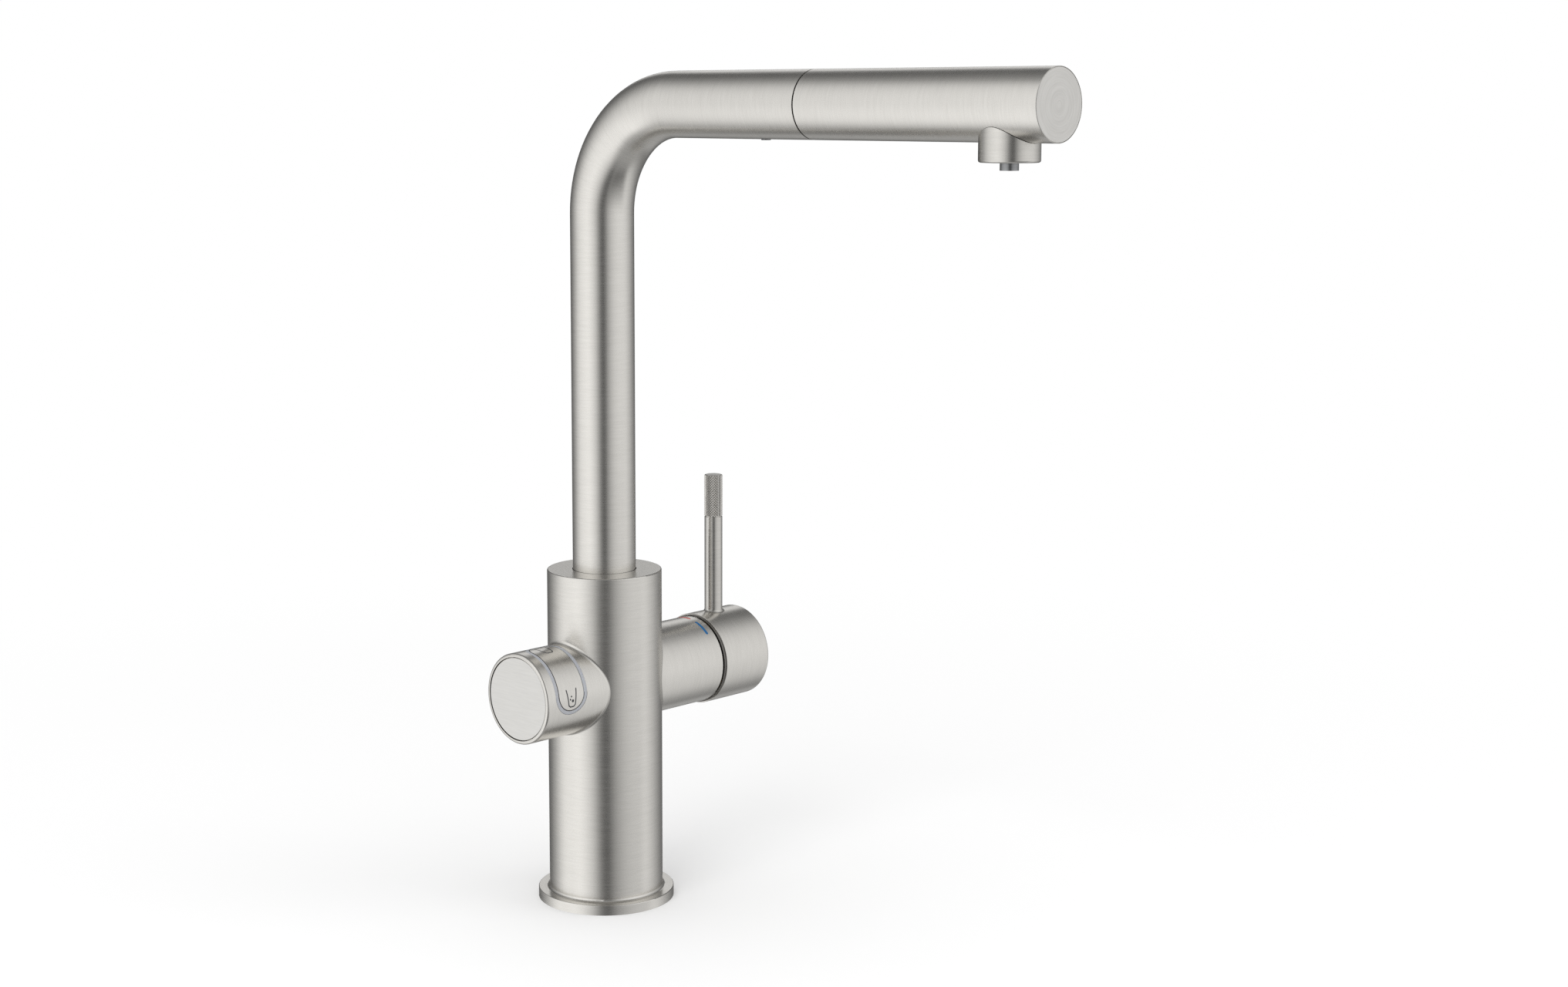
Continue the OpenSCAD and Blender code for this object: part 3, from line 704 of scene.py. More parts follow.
def turned(name: str, outline: Sequence[Station], segments: int = 128, closed: bool = True,
           axis: Axis = BODY_AXIS) -> Piece:
    """Turns an outline round an axis, from a circle that is extruded and scaled ring by ring.

    Args:
        name: the new object's name.
        outline: radius and height of each ring.
        segments: points round a ring.
        closed: True where the outline returns to its first ring, as on a tube.
            Else its two ends are filled with flat faces.
        axis: what it is turned round.

    Returns:
        The piece.
    """
    radius, height = outline[0]
    piece = Piece(name, bpy.ops.mesh.primitive_circle_add, vertices=segments, radius=radius,
                  location=(0, 0, height))
    piece.edit()
    for next_radius, next_height in list(outline[1:]) + ([outline[0]] if closed else []):
        bpy.ops.mesh.extrude_region_move(
            TRANSFORM_OT_translate={"value": (0, 0, next_height - height)})
        ratio = next_radius / radius
        if abs(ratio - 1.0) > 1e-9:
            bpy.ops.transform.resize(value=(ratio, ratio, 1.0),
                                     center_override=(0, 0, next_height))
        radius, height = next_radius, next_height
    bpy.ops.mesh.select_all(action="SELECT")
    if closed:
        bpy.ops.mesh.remove_doubles(threshold=1e-6)
    else:
        bpy.ops.mesh.fill_holes(sides=0)
    bpy.ops.mesh.select_all(action="SELECT")
    bpy.ops.mesh.normals_make_consistent(inside=False)
    piece.close()
    return piece.put((0, 0, outline[0][1])).put(*axis)


def arc(centre: Station, radius: float, start: float, end: float, steps: int = 6) -> list[Station]:
    """Stations on an arc of an outline.

    Args:
        centre: radius and height of the arc's centre.
        radius: the arc's own radius.
        start: first angle in degrees, from outwards towards up.
        end: last angle.
        steps: number of pieces.

    Returns:
        The stations, both ends included.
    """
    angles = [math.radians(start + (end - start) * i / steps) for i in range(steps + 1)]
    return [(centre[0] + radius * math.cos(a), centre[1] + radius * math.sin(a)) for a in angles]


# Sub-assemblies

@dataclass
class RootFillet:
    """Soft concave rounding where a level arm leaves the upright body."""

    name: str
    side: int
    arm_r: float
    body_r: float = PLACES.body_r
    radius: float = 1.5 * MM
    around: int = 144
    steps: int = 6
    sunk: float = 0.4 * MM

    def lay(self, point: Vector) -> Point:
        """Lays a point of the corner, given as out, sideways and along the wall, in the frame."""
        return (self.side * point.x, point.y, point.z + PLACES.arm_h)

    def section(self, turn: float) -> list[Point]:
        """One cut through the rounding.

        Args:
            turn: where the cut is round the arm, in radians.

        Returns:
            Points from the body's wall to the arm's wall, then one in the corner.
        """
        outer, reach = self.body_r + self.radius, self.arm_r + self.radius
        y, up = reach * math.cos(turn), reach * math.sin(turn)
        x = math.sqrt(outer * outer - y * y)
        centre = Vector((x, y, up))
        wall = Vector((x * self.body_r / outer, y * self.body_r / outer, up)) - centre
        arm = Vector((x, self.arm_r * math.cos(turn), self.arm_r * math.sin(turn))) - centre
        span = wall.angle(arm)
        points = []
        for step in range(self.steps + 1):
            share = step / self.steps
            mixed = wall * math.sin((1 - share) * span) + arm * math.sin(share * span)
            points.append(centre + mixed / math.sin(span))
        corner = self.arm_r - self.sunk
        y, up = corner * math.cos(turn), corner * math.sin(turn)
        points.append(Vector((math.sqrt((self.body_r - self.sunk) ** 2 - y ** 2), y, up)))
        return [self.lay(point) for point in points]

    def build(self, material: Material, body: str = "tap_body") -> None:
        """Lays a torus's rings on the corner's cuts, and dresses it.

        Args:
            material: its finish.
            body: the body that it rides on.
        """
        count = self.steps + 2
        piece = Piece(self.name, bpy.ops.mesh.primitive_torus_add, major_segments=self.around,
                      minor_segments=count, major_radius=self.arm_r, minor_radius=self.radius)
        for number in range(self.around):
            section = self.section(math.tau * number / self.around)
            for step, point in enumerate(section):
                piece.vertices()[number * count + step].co = point
        piece.tidy(1e-6).polish(60.0).dress(material, body, "brushed_steel")


@dataclass
class LeverFoot(RootFillet):
    """The same rounding where the upright lever leaves the level handle cap."""

    def lay(self, point: Vector) -> Point:
        """Lays a point of the corner above the cap, round the lever."""
        return (point.z + PLACES.lever_at, point.y, point.x + PLACES.arm_h)


@dataclass
class Lever:
    """Upright lever rod with a fine groove and a knurled grip."""

    radius: float = 4.15 * MM
    foot_z: float = 112 * MM
    tip_z: float = 184.5 * MM
    grip: float = 19.5 * MM
    groove: float = 0.28 * MM
    chamfer: float = 0.4 * MM
    foot_round: float = 1.3 * MM
    knurl_base: float = 3.88 * MM
    knurl_high: float = 0.34 * MM
    knurl_foot: float = 0.25 * MM
    knurl_end: float = 0.5 * MM
    across: int = 22
    row: float = 1.2 * MM

    def rod(self) -> Piece:
        """The plain rod, from its foot in the cap to the core of the grip.

        Returns:
            The finished piece.
        """
        grip_z, core, hair = self.tip_z - self.grip, self.knurl_base, 0.02 * MM
        return turned("lever_rod_turned", [
            (self.radius, self.foot_z), (self.radius, grip_z - self.groove),
            (self.radius - 0.05 * MM, grip_z - 0.2 * MM),
            (core - 0.15 * MM, grip_z - 0.12 * MM), (core - 0.15 * MM, grip_z),
            (core + hair, grip_z), (core + hair, grip_z + self.knurl_foot),
            (core - hair, grip_z + self.knurl_foot), (core - hair, self.tip_z - self.chamfer),
            (core - self.chamfer, self.tip_z)], 96, False, LEVER_AXIS).polish(38.0)

    def knurl(self) -> Piece:
        """The grip's rows of small pyramids, laid flat and then bent round the rod.

        Returns:
            All rows as one piece.
        """
        width = math.tau * self.knurl_base / self.across
        piece = Piece("lever_grip_knurl", bpy.ops.mesh.primitive_circle_add, vertices=4,
                      radius=1.0, fill_type="NGON")
        piece.edit()
        bpy.ops.transform.resize(value=(width / 2, self.row / 2, 1.0))
        bpy.ops.mesh.poke()
        piece.close()
        for vertex in piece.vertices():
            if vertex.co.length < 1e-6:
                vertex.co.z = self.knurl_high
        rows = int((self.grip - self.knurl_foot) / self.row) + 1
        for count, step in ((self.across, (width, 0, 0)), (2, (width / 2, self.row / 2, 0)),
                            (rows, (0, self.row, 0))):
            piece.modify("ARRAY", count=count, use_relative_offset=False,
                         use_constant_offset=True, constant_offset_displace=step,
                         use_merge_vertices=True, merge_threshold=1e-6)
        for height, lower in ((0.0, True), (self.grip - self.knurl_end, False)):
            piece.edit()
            bpy.ops.mesh.bisect(plane_co=(0, height, 0), plane_no=(0, 1, 0),
                                clear_inner=lower, clear_outer=not lower)
            piece.close()
        piece.put(turn=(90.0, 0, 0))
        piece.modify("SIMPLE_DEFORM", deform_method="BEND", deform_axis="Z", angle=math.tau)
        points = [v.co for v in piece.vertices()]
        middle = [(min(p[i] for p in points) + max(p[i] for p in points)) / 2 for i in (0, 1)]
        foot = self.tip_z - self.grip + self.knurl_foot
        return piece.put((PLACES.lever_at - middle[0], -middle[1], foot)).tidy(2e-6)

    def build(self, steel: Material) -> None:
        """Builds and dresses the rod, the rounding at its foot and its grip.

        Args:
            steel: the rod's finish.
        """
        self.rod().dress(steel, "lever", "brushed_steel", "lever_rod")
        LeverFoot("lever_foot_fillet", 1, self.radius, PLACES.cap_r,
                  self.foot_round).build(steel, "lever")
        # the grip's furrows get painted shade
        knurled = KnurledMetal("knurled_steel", self.knurl_base,
                               self.knurl_base + self.knurl_high * 0.8)
        self.knurl().dress(knurled.material(), "lever", "brushed_steel")


@dataclass
class Ribbon:
    """Thin flat lines laid on an arm's round wall, such as a printed sign or an inlaid mark."""

    name: str
    side: int
    wall_r: float
    line: float
    proud: float
    strokes: list[list[Station]]
    soft: int = 2
    spacing: float = 0.25

    def round_end(self, points: list[Vector], number: int) -> float:
        """How far the line is narrowed at a point, so that its ends are round.

        Args:
            points: the line's points.
            number: which of them it is.

        Returns:
            Its width there as a share of the full width.
        """
        reach = min((points[number] - end).length for end in (points[0], points[-1]))
        share = 1.0 - min(1.0, (reach + self.line * 0.02) / (self.line / 2))
        return math.sqrt(1.0 - share * share)

    def dense(self, stroke: Sequence[Station]) -> list[Vector]:
        """A stroke laid flat, with close points and soft corners.

        Args:
            stroke: its corners, each as place along the arm in mm and angle in degrees.

        Returns:
            Points with the place along the arm, the way round it and a height of zero.
        """
        corners = [Vector((along * MM, math.radians(angle) * self.wall_r, 0.0))
                   for along, angle in stroke]
        points: list[Vector] = []
        for first, last in zip(corners, corners[1:]):
            count = max(1, round((last - first).length / (self.line * self.spacing)))
            points += [first.lerp(last, i / count) for i in range(count)]
        points.append(corners[-1])
        for _ in range(self.soft):
            points = [points[0]] + [(a + b * 2 + c) / 4 for a, b, c in
                                    zip(points, points[1:], points[2:])] + [points[-1]]
        return points

    def wrap(self, point: Vector) -> Point:
        """Lays a flat point on the arm's wall.

        Args:
            point: place along the arm, way round it, and height.

        Returns:
            The point in the frame.
        """
        angle = point.y / self.wall_r
        radius = self.wall_r + point.z
        return (self.side * point.x, -radius * math.cos(angle),
                PLACES.arm_h + radius * math.sin(angle))

    def draw(self) -> None:
        """Draws the strokes as round lines and makes them a mesh."""
        curve = bpy.data.curves.new(self.name, "CURVE")
        curve.dimensions = "3D"
        curve.bevel_depth = self.line / 2
        curve.bevel_resolution = 3
        curve.use_fill_caps = True
        for stroke in self.strokes:
            points = self.dense(stroke)
            spline = curve.splines.new("POLY")
            spline.points.add(len(points) - 1)
            for number, (slot, point) in enumerate(zip(spline.points, points)):
                slot.co = (*point, 1.0)
                slot.radius = self.round_end(points, number)
        lines = bpy.data.objects.new(self.name, curve)
        bpy.context.scene.collection.objects.link(lines)
        lines.select_set(True)
        bpy.context.view_layer.objects.active = lines
        bpy.ops.object.convert(target="MESH")

    def build(self) -> Piece:
        """Presses the lines flat and wraps them round the arm.

        Returns:
            The finished piece.
        """
        piece = Piece(self.name, self.draw)
        for vertex in piece.vertices():
            vertex.co.z *= self.proud / (self.line / 2)
            vertex.co = self.wrap(vertex.co)
        return piece.tidy().polish(70.0)


@dataclass
class Dot:
    """A small round dot on the curved selector pad."""

    name: str
    along: float
    angle: float
    radius: float
    proud: float = 0.03 * MM
    deep: float = 0.12 * MM

    def build(self) -> Piece:
        """A disc that is domed a little, stood off the arm's axis and turned to its angle.

        Returns:
            The finished piece.
        """
        piece = Piece(self.name, bpy.ops.mesh.primitive_circle_add, vertices=24,
                      radius=self.radius, fill_type="NGON")
        piece.edit()
        bpy.ops.mesh.inset(thickness=self.radius * 0.35)
        bpy.ops.transform.translate(value=(0, 0, self.proud * 0.5))
        bpy.ops.mesh.select_all(action="SELECT")
        bpy.ops.mesh.extrude_region_move(TRANSFORM_OT_translate={"value": (0, 0, -self.deep)})
        piece.close()
        piece.put((0, 0, PLACES.barrel_r + self.proud * 0.5)).put(turn=(90.0 - self.angle, 0, 0))
        return piece.put((-self.along * MM, 0, PLACES.arm_h)).tidy().polish(40.0)


class Sign(Enum):
    """The selector's two symbols."""

    STILL = "plain tumbler"
    SPARKLING = "tumbler with bubbles"

    def tumbler(self) -> list[Station]:
        """The open tumbler, from one rim down, round its base and up to the other rim.

        Returns:
            Place along the arm in mm and angle in degrees of each corner.
        """
        middle, top, foot, rim, base = {
            Sign.STILL: (37.7, 2.95, 2.1, 93.0, 74.0),
            Sign.SPARKLING: (37.9, 2.85, 1.75, 16.2, -6.4)}[self]
        corner, tilt, lean = 0.75, 2.2, 0.08
        return [(middle - top, rim), (middle - foot - lean, base + tilt),
                (middle - foot + corner, base), (middle + foot - corner, base),
                (middle + foot + lean, base + tilt), (middle + top, rim)]

    def bubbles(self) -> list[tuple[float, float, float]]:
        """Place along the arm in mm, angle in degrees and radius in mm of each bubble.

        Returns:
            The bubbles, of which still water has none.
        """
        if self is Sign.STILL:
            return []
        return [(38.15, 6.6, 0.40), (38.85, 3.0, 0.40), (37.45, 0.9, 0.66)]

    def build(self, ink: Material) -> None:
        """Builds and dresses the tumbler's line and its bubbles.

        Args:
            ink: their finish.
        """
        name = self.name.lower()
        pieces = [Ribbon(f"{name}_symbol", -1, PLACES.barrel_r, 0.60 * MM, 0.03 * MM,
                         [self.tumbler()]).build()]
        pieces += [Dot(f"{name}_bubble_{number}", along, angle, radius * MM).build()
                   for number, (along, angle, radius) in enumerate(self.bubbles(), 1)]
        for piece in pieces:
            piece.dress(ink, "selector", "dark_plastic")


@dataclass
class PadSeamShade:
    """A fine dark wire along the edge of the selector's ring, painted shade for the seam there."""

    name: str
    half_width: float
    run: float = 12.42 * MM
    line: float = 0.16 * MM
    sunk: float = 0.02 * MM
    press: float = 0.35
    at: float = 38.0 * MM
    up: float = 45.0

    def build(self, material: Material) -> None:
        """Bends a thin round wire to the ring's outline on the barrel, and dresses it.

        Args:
            material: its finish.
        """
        piece = Piece(self.name, bpy.ops.mesh.primitive_torus_add, major_segments=160,
                      minor_segments=6, major_radius=self.half_width,
                      minor_radius=self.line / 2)
        for vertex in piece.vertices():
            across, along, height = vertex.co
            stretch = self.run if along >= 0.0 else -self.run
            angle = math.radians(self.up) + (along + stretch) / PLACES.barrel_r
            reach = PLACES.barrel_r - self.sunk + height * self.press
            vertex.co = (-(self.at + across), -reach * math.cos(angle),
                         PLACES.arm_h + reach * math.sin(angle))
        piece.tidy().polish(80.0).dress(material, "tap_body", "dark_plastic")


@dataclass
class KnobFace:
    """The flat disc in the control arm's end, with a fine gap round it."""

    radius: float = 18.07 * MM
    rounding: float = 0.10 * MM

    def build(self, material: Material) -> None:
        """Turns the disc and dresses it.

        Args:
            material: the disc's finish.
        """
        low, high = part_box("control_face")
        outline = [(self.radius, -high[0]), (self.radius, -low[0] - self.rounding),
                   (self.radius - self.rounding, -low[0])]
        piece = turned("control_face_turned", outline, 160, False, KNOB_AXIS).polish()
        piece.dress(material, "tap_body", "brushed_steel", "control_face")


@dataclass
class MixerArm:
    """The fixed sleeve of the mixer, its marks, and the mouth of the handle cap."""

    bore_r: float = 17.7 * MM
    end_x: float = 55.4 * MM
    core_r: float = 20.3 * MM
    neck_r: float = 19.3 * MM
    neck_x: float = 55.95 * MM
    neck_in: float = 0.1 * MM
    neck_round: float = 0.15 * MM
    lip_r: Station = (20.0 * MM, 20.4 * MM)
    lip_in: float = 0.4 * MM
    lip_round: float = 0.1 * MM
    edge: float = 0.18 * MM
    mark_at: float = 51.3
    mark: float = 1.5 * MM
    cap_x: float = 56.9 * MM
    cap_end: float = 85.0 * MM
    cap_edge: float = 0.16 * MM
    mouth_r: float = 20.05 * MM
    hollow_r: float = 20.2 * MM
    hub_x: float = 62.76 * MM
    rounding: float = 1.0 * MM

    def sleeve(self) -> Piece:
        """A turned tube with a fine edge, scooped out round the body's core.

        Returns:
            The finished piece.
        """
        radius = PLACES.sleeve_r
        tube = turned("mixer_sleeve_turned", [
            (radius, 0.0), (radius, self.end_x - self.edge), (radius - self.edge, self.end_x),
            (self.bore_r, self.end_x), (self.bore_r, 0.0)], 160, axis=ARM_AXIS)
        return tube.drill(self.core_r, 60 * MM, ARM_AXIS[0]).polish()

    def neck(self) -> Piece:
        """The inner collar that shows in the gap before the cap, near black as painted shade for
        that gap.

        Returns:
            The finished piece.
        """
        start = self.end_x - self.neck_in
        return turned("mixer_sleeve_neck", [
            (self.neck_r, start), (self.neck_r, self.neck_x - self.neck_round),
            (self.neck_r - self.neck_round, self.neck_x), (self.bore_r, self.neck_x),
            (self.bore_r, start)], axis=ARM_AXIS).polish()

    def lip(self) -> Piece:
        """The step in the cap's mouth, which faces the sleeve, dark grey as painted shade for the
        gap.

        Returns:
            The finished piece.
        """
        inner, outer = self.lip_r
        end = self.cap_x + self.lip_in
        return turned("handle_cap_lip", [
            (outer, end), (outer, self.neck_x + self.lip_round),
            (outer - self.lip_round, self.neck_x), (inner, self.neck_x), (inner, end)],
            160, axis=ARM_AXIS).polish()

    def cap(self) -> Piece:
        """The handle cap: rounded end, round wall, thin lipped mouth and hollow.

        Returns:
            The finished piece.
        """
        radius, mouth = PLACES.cap_r, self.cap_x + 0.5 * MM
        outline = [(radius - self.rounding * 1.8, self.cap_end)]
        outline += arc((radius - self.rounding, self.cap_end - self.rounding),
                       self.rounding, 90.0, 0.0)
        outline += [(radius, self.cap_x + self.cap_edge), (radius - self.cap_edge, self.cap_x),
                    (self.mouth_r, self.cap_x), (self.mouth_r, mouth),
                    (self.hollow_r, mouth + 0.2 * MM), (self.hollow_r, self.hub_x)]
        return turned("handle_cap_turned", outline, 160, False, ARM_AXIS).polish()

    def build(self, table: dict[str, Material]) -> None:
        """Builds and dresses the arm.

        Args:
            table: the finishes.
        """
        self.sleeve().dress(table["mixer_sleeve"], "tap_body", "brushed_steel", "mixer_sleeve")
        # the neck's near black finish is painted shade for the gap before the cap
        self.neck().dress(table["neck_painted_shade"], "tap_body", "dull_steel")
        # the lip's dark grey finish is painted shade for the gap before the cap
        self.lip().dress(table["lip_painted_shade"], "lever", "dull_steel")
        self.cap().dress(table["handle_cap"], "lever", "brushed_steel", "handle_cap")
        for node, slot, first, last in (("cold_mark", "blue_mark", 46.0, 72.5),
                                        ("hot_mark", "red_mark", 82.5, 109.0)):
            mark = Ribbon(f"{node}_inlay", 1, PLACES.sleeve_r, self.mark, 0.04 * MM,
                          [[(self.mark_at, first), (self.mark_at, last)]], 0, 0.08)
            mark.build().dress(table[slot], "tap_body", slot, node)


@dataclass
class HeadTube:
    """The spray head's tube with a fine lip round its end disc."""

    outer_r: float = 14.0 * MM
    bore_r: float = 12.4 * MM
    seat_r: float = 13.80 * MM
    disc_r: float = 13.73 * MM
    start: float = 125.3 * MM
    end: float = 243.4 * MM
    disc_t: float = 3.0 * MM
    disc_sunk: float = 0.06 * MM
    bed: float = 0.2 * MM
    edge: float = 0.10 * MM
    seam_edge: float = 0.12 * MM
    nozzle_r: float = 10.2 * MM

    def tube(self) -> Piece:
        """The turned tube with the outlet's hole below.

        Returns:
            The finished piece.
        """
        bed = self.end - self.disc_t - self.bed
        tube = turned("spray_tube_turned", [
            (self.outer_r - self.seam_edge, self.start),
            (self.outer_r, self.start + self.seam_edge),
            (self.outer_r, self.end - self.edge), (self.outer_r - self.edge, self.end),
            (self.seat_r, self.end), (self.seat_r, bed), (self.bore_r, bed),
            (self.bore_r, self.start)], 160, axis=SPOUT_AXIS)
        return tube.drill(self.nozzle_r, 20 * MM,
                          (0, -PLACES.nozzle_at, PLACES.spout_h - 11 * MM)).polish()

    def disc(self) -> Piece:
        """The end disc, a hair below the lip.

        Returns:
            The finished piece.
        """
        top = self.end - self.disc_sunk
        return turned("head_disc_turned", [
            (self.disc_r, top - self.disc_t), (self.disc_r, top - self.seam_edge),
            (self.disc_r - self.seam_edge, top)], closed=False, axis=SPOUT_AXIS).polish()

    def build(self, table: dict[str, Material]) -> None:
        """Builds and dresses the tube and its disc.

        Args:
            table: the finishes.
        """
        for piece, node in ((self.tube(), "spray_shell"), (self.disc(), "head_cap")):
            piece.dress(table[node], "spray_head", "brushed_steel", node)


@dataclass
class Thread:
    """A tube whose outer wall is drawn in along a helix."""

    name: str
    outer_r: float
    bore_r: float
    low: float
    high: float
    stop: float
    lead: float = 1.0 * MM
    pitch: float = 1.5 * MM
    depth: float = 0.55 * MM
    rows: int = 5
    steep: float = 1.4

    def shape(self, vertex: MeshVertex, start: float, stop: float) -> None:
        """Draws one point of the outer wall in, if it lies between the thread's ends.

        Args:
            vertex: the point.
            start: height of the thread's lower end.
            stop: height of its upper end.
        """
        radius = math.hypot(vertex.co.x, vertex.co.y)
        if radius < self.outer_r - self.depth / 2 or not start <= vertex.co.z <= stop:
            return
        turn = math.atan2(vertex.co.y, vertex.co.x) / math.tau
        wave = abs(2.0 * ((vertex.co.z / self.pitch - turn) % 1.0) - 1.0)
        fade = min(1.0, (stop - vertex.co.z) / self.pitch)
        ratio = 1.0 - self.depth * min(1.0, wave * self.steep) * fade / radius
        vertex.co.x *= ratio
        vertex.co.y *= ratio

    def build(self) -> Piece:
        """Turns the tube with close rows and shapes them.

        Returns:
            The finished piece.
        """
        start, step = self.low + self.lead, self.pitch / self.rows
        count = int((self.stop - start) / step)
        outline = [(self.bore_r, self.low), (self.outer_r - self.depth, self.low)]
        outline += [(self.outer_r, start + step * i) for i in range(count + 1)]
        outline += [(self.outer_r, self.high), (self.bore_r, self.high)]
        piece = turned(self.name, outline, 72)
        for vertex in piece.vertices():
            self.shape(vertex, start, start + step * count)
        return piece.tidy().polish(50.0)


@dataclass
class Fixing:
    """The threaded shank, the hexagon nut below the worktop, and the hose's thread."""

    outer_r: float = 16.5 * MM
    bore_r: float = 14.0 * MM
    thread_top: float = -2.0 * MM
    nut_r: float = 25.0 * MM
    face_r: float = 21.9 * MM
    slope: float = 1.7 * MM
    union_r: float = 6.88 * MM
    union_wall: float = 0.6 * MM
    union_in: float = 0.3 * MM
    union_thread: float = 11.0 * MM

    def nut(self) -> Piece:
        """A hexagon prism with sloped corners and a round hole.

        Returns:
            The finished piece.
        """
        low, high = (corner[2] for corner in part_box("fixing_nut"))
        centre = (0, 0, (high + low) / 2)
        nut = Piece("fixing_nut_hexagon", bpy.ops.mesh.primitive_cylinder_add, vertices=6,
                    radius=self.nut_r, depth=high - low, location=centre)
        nut.put(centre, (0, 0, 30.0))
        wide = self.nut_r * 1.02
        cone = turned("nut_cone", [
            (self.face_r, low), (wide, low + self.slope), (wide, high - self.slope),
            (self.face_r, high)], closed=False)
        nut.cut(cone, "INTERSECT").drill(self.outer_r, 4 * (high - low), centre)
        return nut.polish(12.0)

    def build(self, brass: Material) -> None:
        """Builds and dresses the three pieces.

        Args:
            brass: their finish.
        """
        low, high = (corner[2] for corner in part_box("fixing_shank"))
        shank = Thread("fixing_shank_threaded", self.outer_r, self.bore_r, low, high,
                       self.thread_top)
        shank.build().dress(brass, "tap_body", "brass", "fixing_shank")
        self.nut().dress(brass, "tap_body", "brass", "fixing_nut")
        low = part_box("hose_union")[0][2] + self.union_in
        high = low + self.union_thread
        union = Thread("hose_union_thread", self.union_r, self.union_r - self.union_wall, low,
                       high, high - 0.2 * MM, 0.6 * MM, 1.34 * MM, 0.35 * MM)
        union.build().dress(brass, "spout", "brass")


@dataclass
class DockScrew:
    """Small screw below the spout with a hexagon socket."""

    radius: float = 2.0 * MM
    socket: float = 1.15 * MM
    deep: float = 1.5 * MM
    rounding: float = 0.15 * MM

    def build(self, material: Material) -> None:
        """Turns the screw, cuts its socket and dresses it.

        Args:
            material: its finish.
        """
        low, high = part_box("dock_screw")
        screw = turned("dock_screw_socket", [
            (self.radius - self.rounding, low[2]), (self.radius, low[2] + self.rounding),
            (self.radius, high[2])], 64, closed=False)
        screw.drill(self.socket, 2 * self.deep, (0, 0, low[2]), 6)
        screw.put(((low[0] + high[0]) / 2, (low[1] + high[1]) / 2, 0)).polish()
        screw.dress(material, "spout", "dark_screw", "dock_screw")


@dataclass
class HoseRun:
    """Stretch of pull-out hose between the spout and the drawn-out head."""

    radius: float = 4.95 * MM
    start: float = 100 * MM
    end: float = 112 * MM
    spare: float = 12 * MM
    rings: int = 60

    def build(self, material: Material) -> None:
        """Turns a tube of many rings along the spout's axis.

        Args:
            material: its finish.
        """
        first = self.start - self.spare
        step = (self.end + self.spare - first) / self.rings
        outline = [(self.radius, first + step * i) for i in range(self.rings + 1)]
        piece = turned("pull_hose_run", outline, 40, False, SPOUT_AXIS).polish(60.0).object
        coat(piece.data, material)
        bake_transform(piece)
        LOG.info("piece %s between spout and spray_head", piece.name)


# Studio

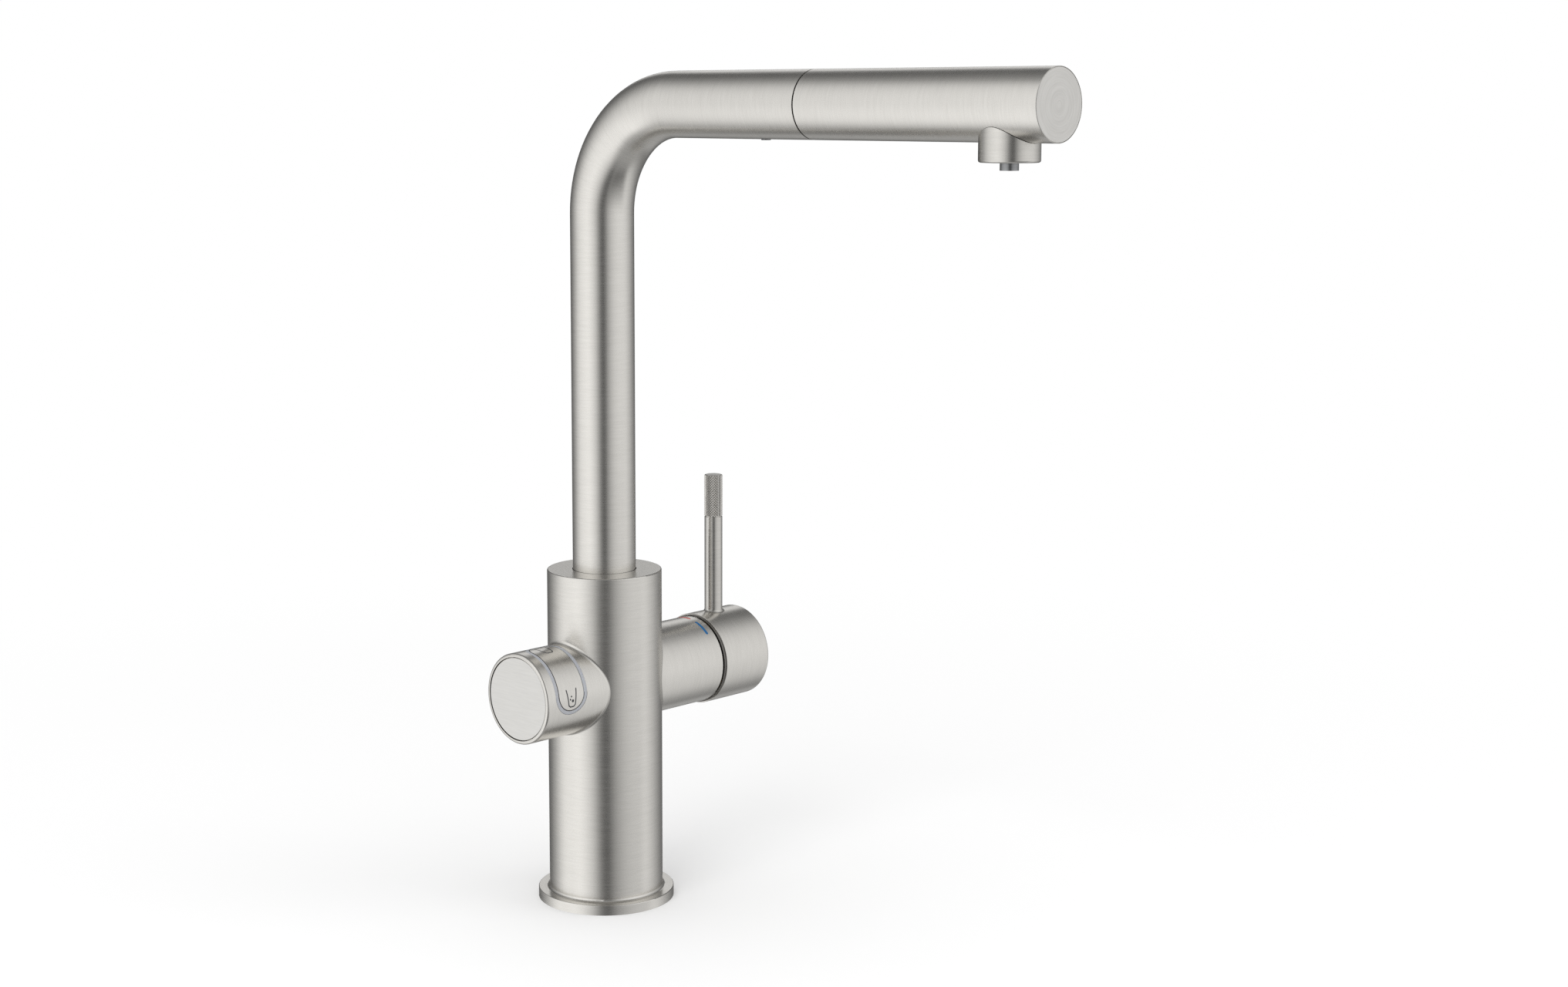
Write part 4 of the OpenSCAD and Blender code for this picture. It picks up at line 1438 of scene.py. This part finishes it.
@dataclass
class Studio:
    """Floor, soft light, the surroundings that the metal mirrors, and the camera.

    A way round the horizon goes from 0 behind the tap over the left to 0.5 at the camera, and
    over the right to 1. A height is that of a mirrored ray, from -1 straight down to 1.
    """

    eye: Point = (-0.7105, -0.76687, 0.35747)
    look: Point = (82.053, 0.112, -44.695)
    lens: float = 54.883
    shift: Station = (0.066, -0.04)
    floor_tone: float = 0.93
    fade: Station = (0.12, 0.75)
    ceiling: float = 0.30
    ceiling_edge: Station = (0.72, 0.90)
    ground: float = 0.42
    ground_edge: Station = (0.72, 0.95)
    dim_low_right: float = 1.25
    bright_low_left: float = 0.45
    behind_light: float = 0.30
    rear_light: float = 0.80
    under_light: float = 0.05
    room_light: float = 0.92

    def floor(self) -> None:
        """A wide pale floor that keeps the tap's shadow."""
        floor = Piece("studio_floor", bpy.ops.mesh.primitive_circle_add, vertices=96,
                      radius=6.0, fill_type="NGON").object
        material, graph = new_material("studio_floor_finish")
        pale = graph.node("BsdfDiffuse", {"Color": (self.floor_tone,) * 3 + (1.0,)})
        white = graph.node("Emission", {"Color": (1.0, 1.0, 1.0, 1.0)})
        x, y, _ = graph.place()
        away = (x * x + y * y).root().smooth(*self.fade)
        seen, = graph.rays("Camera")
        shader = graph.node("MixShader", {
            0: away * seen, 1: pale.outputs[0], 2: white.outputs[0]})
        graph.node("OutputMaterial", {0: shader.outputs[0]})
        coat(floor.data, material)
        floor.visible_glossy = False

    def mirrored_level(self, graph: Graph) -> Signal:
        """Brightness that the metal mirrors in each direction.

        Args:
            graph: the world's graph.

        Returns:
            The cards round the horizon, with patches that are brighter or darker by height.
        """
        x, y, z = graph.place("Generated")
        half = math.sqrt(0.5)
        way = ((x * half - y * half).angle(x * -half + y * -half)) / math.tau + 0.5
        ring = graph.signal("ValToRGB", {0: way}, stops=self.cards())
        off_camera = (way - 0.5).size()
        right = way.band((0.53, 0.58), (0.70, 0.76)) * (-z - 0.09).most(0.0)
        left = (1.0 - way.smooth(0.26, 0.30)) * (-z).most(0.0)
        behind = off_camera.smooth(0.41, 0.46) * (-z).smooth(0.30, 0.55)
        rear = off_camera.smooth(0.45, 0.485) * z.band((0.16, 0.26), (0.46, 0.60))
        under = way.smooth(0.86, 0.90) * (-z).smooth(0.56, 0.70)
        level = ring * (1.0 - right * self.dim_low_right) * (1.0 + left * self.bright_low_left)
        level = (level + behind * self.behind_light + rear * self.rear_light
                 + under * self.under_light)
        for side, edge, light in ((z, self.ceiling_edge, self.ceiling),
                                  (-z, self.ground_edge, self.ground)):
            end = side.smooth(*edge)
            level = level * (1.0 - end) + end * light
        return level

    @staticmethod
    def cards() -> list[Station]:
        """Brightness by the way round the horizon, from angles from the camera in degrees.

        Returns:
            Way round the horizon and level of each stop.
        """
        return [((angle + 180.0) / 360.0, level) for angle, level in (
            (-180, 0.10), (-150, 0.12), (-134, 0.24), (-118, 0.44), (-95, 0.87), (-76, 1.06),
            (-52, 1.19), (-38, 1.02), (-24, 0.78), (-14, 0.46), (-6, 0.16), (7, 0.05),
            (14, 0.26), (26, 0.62), (42, 0.86), (62, 0.97), (88, 0.91), (108, 0.68),
            (130, 0.38), (150, 0.18), (180, 0.10))]

    def surroundings(self) -> None:
        """White backdrop, and upright soft lights and dark cards for the metal to mirror."""
        world = bpy.data.worlds.new("studio_surroundings")
        bpy.context.scene.world = world
        world.use_nodes = True
        graph = Graph(world.node_tree)
        level = self.mirrored_level(graph)
        camera, gloss, clear = graph.rays("Camera", "Glossy", "Transmission")
        mirrored = (gloss + clear).least(1.0)
        unseen = mirrored * level + (1.0 - mirrored) * self.room_light
        shader = graph.node("Background", {"Color": (1.0, 1.0, 1.0, 1.0),
                                           "Strength": camera + (1.0 - camera) * unseen})
        graph.node("OutputWorld", {0: shader.outputs[0]})

    @staticmethod
    def lamp(name: str, place: Point, power: float, size: float = 0.9,
             aim: Point = (0, -0.08, 0.15)) -> None:
        """Adds one soft square lamp.

        Args:
            name: its name.
            place: where it hangs.
            power: its power in watts.
            size: its edge.
            aim: the point that it faces.
        """
        data = bpy.data.lights.new(name, "AREA")
        data.shape, data.size, data.energy = "SQUARE", size, power
        lamp = bpy.data.objects.new(name, data)
        lamp.location = place
        lamp.rotation_euler = (Vector(aim) - Vector(place)).to_track_quat("-Z", "Y").to_euler()
        lamp.visible_glossy = False
        bpy.context.scene.collection.objects.link(lamp)

    def camera(self) -> None:
        """The camera at the photograph's place."""
        data = bpy.data.cameras.new("photo_camera")
        data.sensor_fit, data.sensor_width, data.lens = "HORIZONTAL", 36.0, self.lens
        data.shift_x, data.shift_y = self.shift
        data.clip_start, data.clip_end = 0.01, 50.0
        camera = bpy.data.objects.new("photo_camera", data)
        camera.location = self.eye
        camera.rotation_euler = tuple(math.radians(a) for a in self.look)
        bpy.context.scene.collection.objects.link(camera)
        bpy.context.scene.camera = camera

    def build(self) -> None:
        """Sets up everything round the tap."""
        self.floor()
        self.surroundings()
        self.lamp("key_light", (-1.2, -0.4, 1.3), 7.0)
        self.lamp("fill_light", (0.9, -1.2, 1.0), 3.0)
        self.camera()
        bpy.context.scene.view_settings.view_transform = "Standard"


def dress_solids(table: dict[str, Material]) -> None:
    """Gives each solid of the frame its own finish, or that of its slot.

    Args:
        table: the finishes.
    """
    for part in frame["record"]["subparts"]:
        node = part["node"]
        material = table.get(node) or table[part["material_slot"]]
        coat(frame["nodes"][node].data, material)
        LOG.info("solid %s: %s", node, material.name)


def main() -> None:
    """Builds and dresses the tap, then sets up the studio."""
    logging.basicConfig(level=logging.INFO, format="%(name)s: %(message)s")
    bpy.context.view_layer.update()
    table = finishes()
    dress_solids(table)
    RootFillet("control_arm_root", -1, PLACES.barrel_r).build(table["control_housing"])
    RootFillet("mixer_arm_root", 1, PLACES.sleeve_r).build(table["mixer_sleeve"])
    KnobFace().build(table["control_face"])
    MixerArm().build(table)
    HeadTube().build(table)
    Lever().build(table["lever_rod"])
    for sign in Sign:
        sign.build(table["ink"])
    # dark wires along both edges of the ring, painted shade for its seams
    for name, half_width in (("ring_seam_shade_outer", 9.05 * MM), ("ring_seam_shade_inner", 7.35 * MM)):
        PadSeamShade(name, half_width).build(table["dark_plastic"])
    Fixing().build(table["brass"])
    DockScrew().build(table["dark_screw"])
    HoseRun().build(table["hose"])
    Studio().build()


if __name__ == "__main__":
    main()
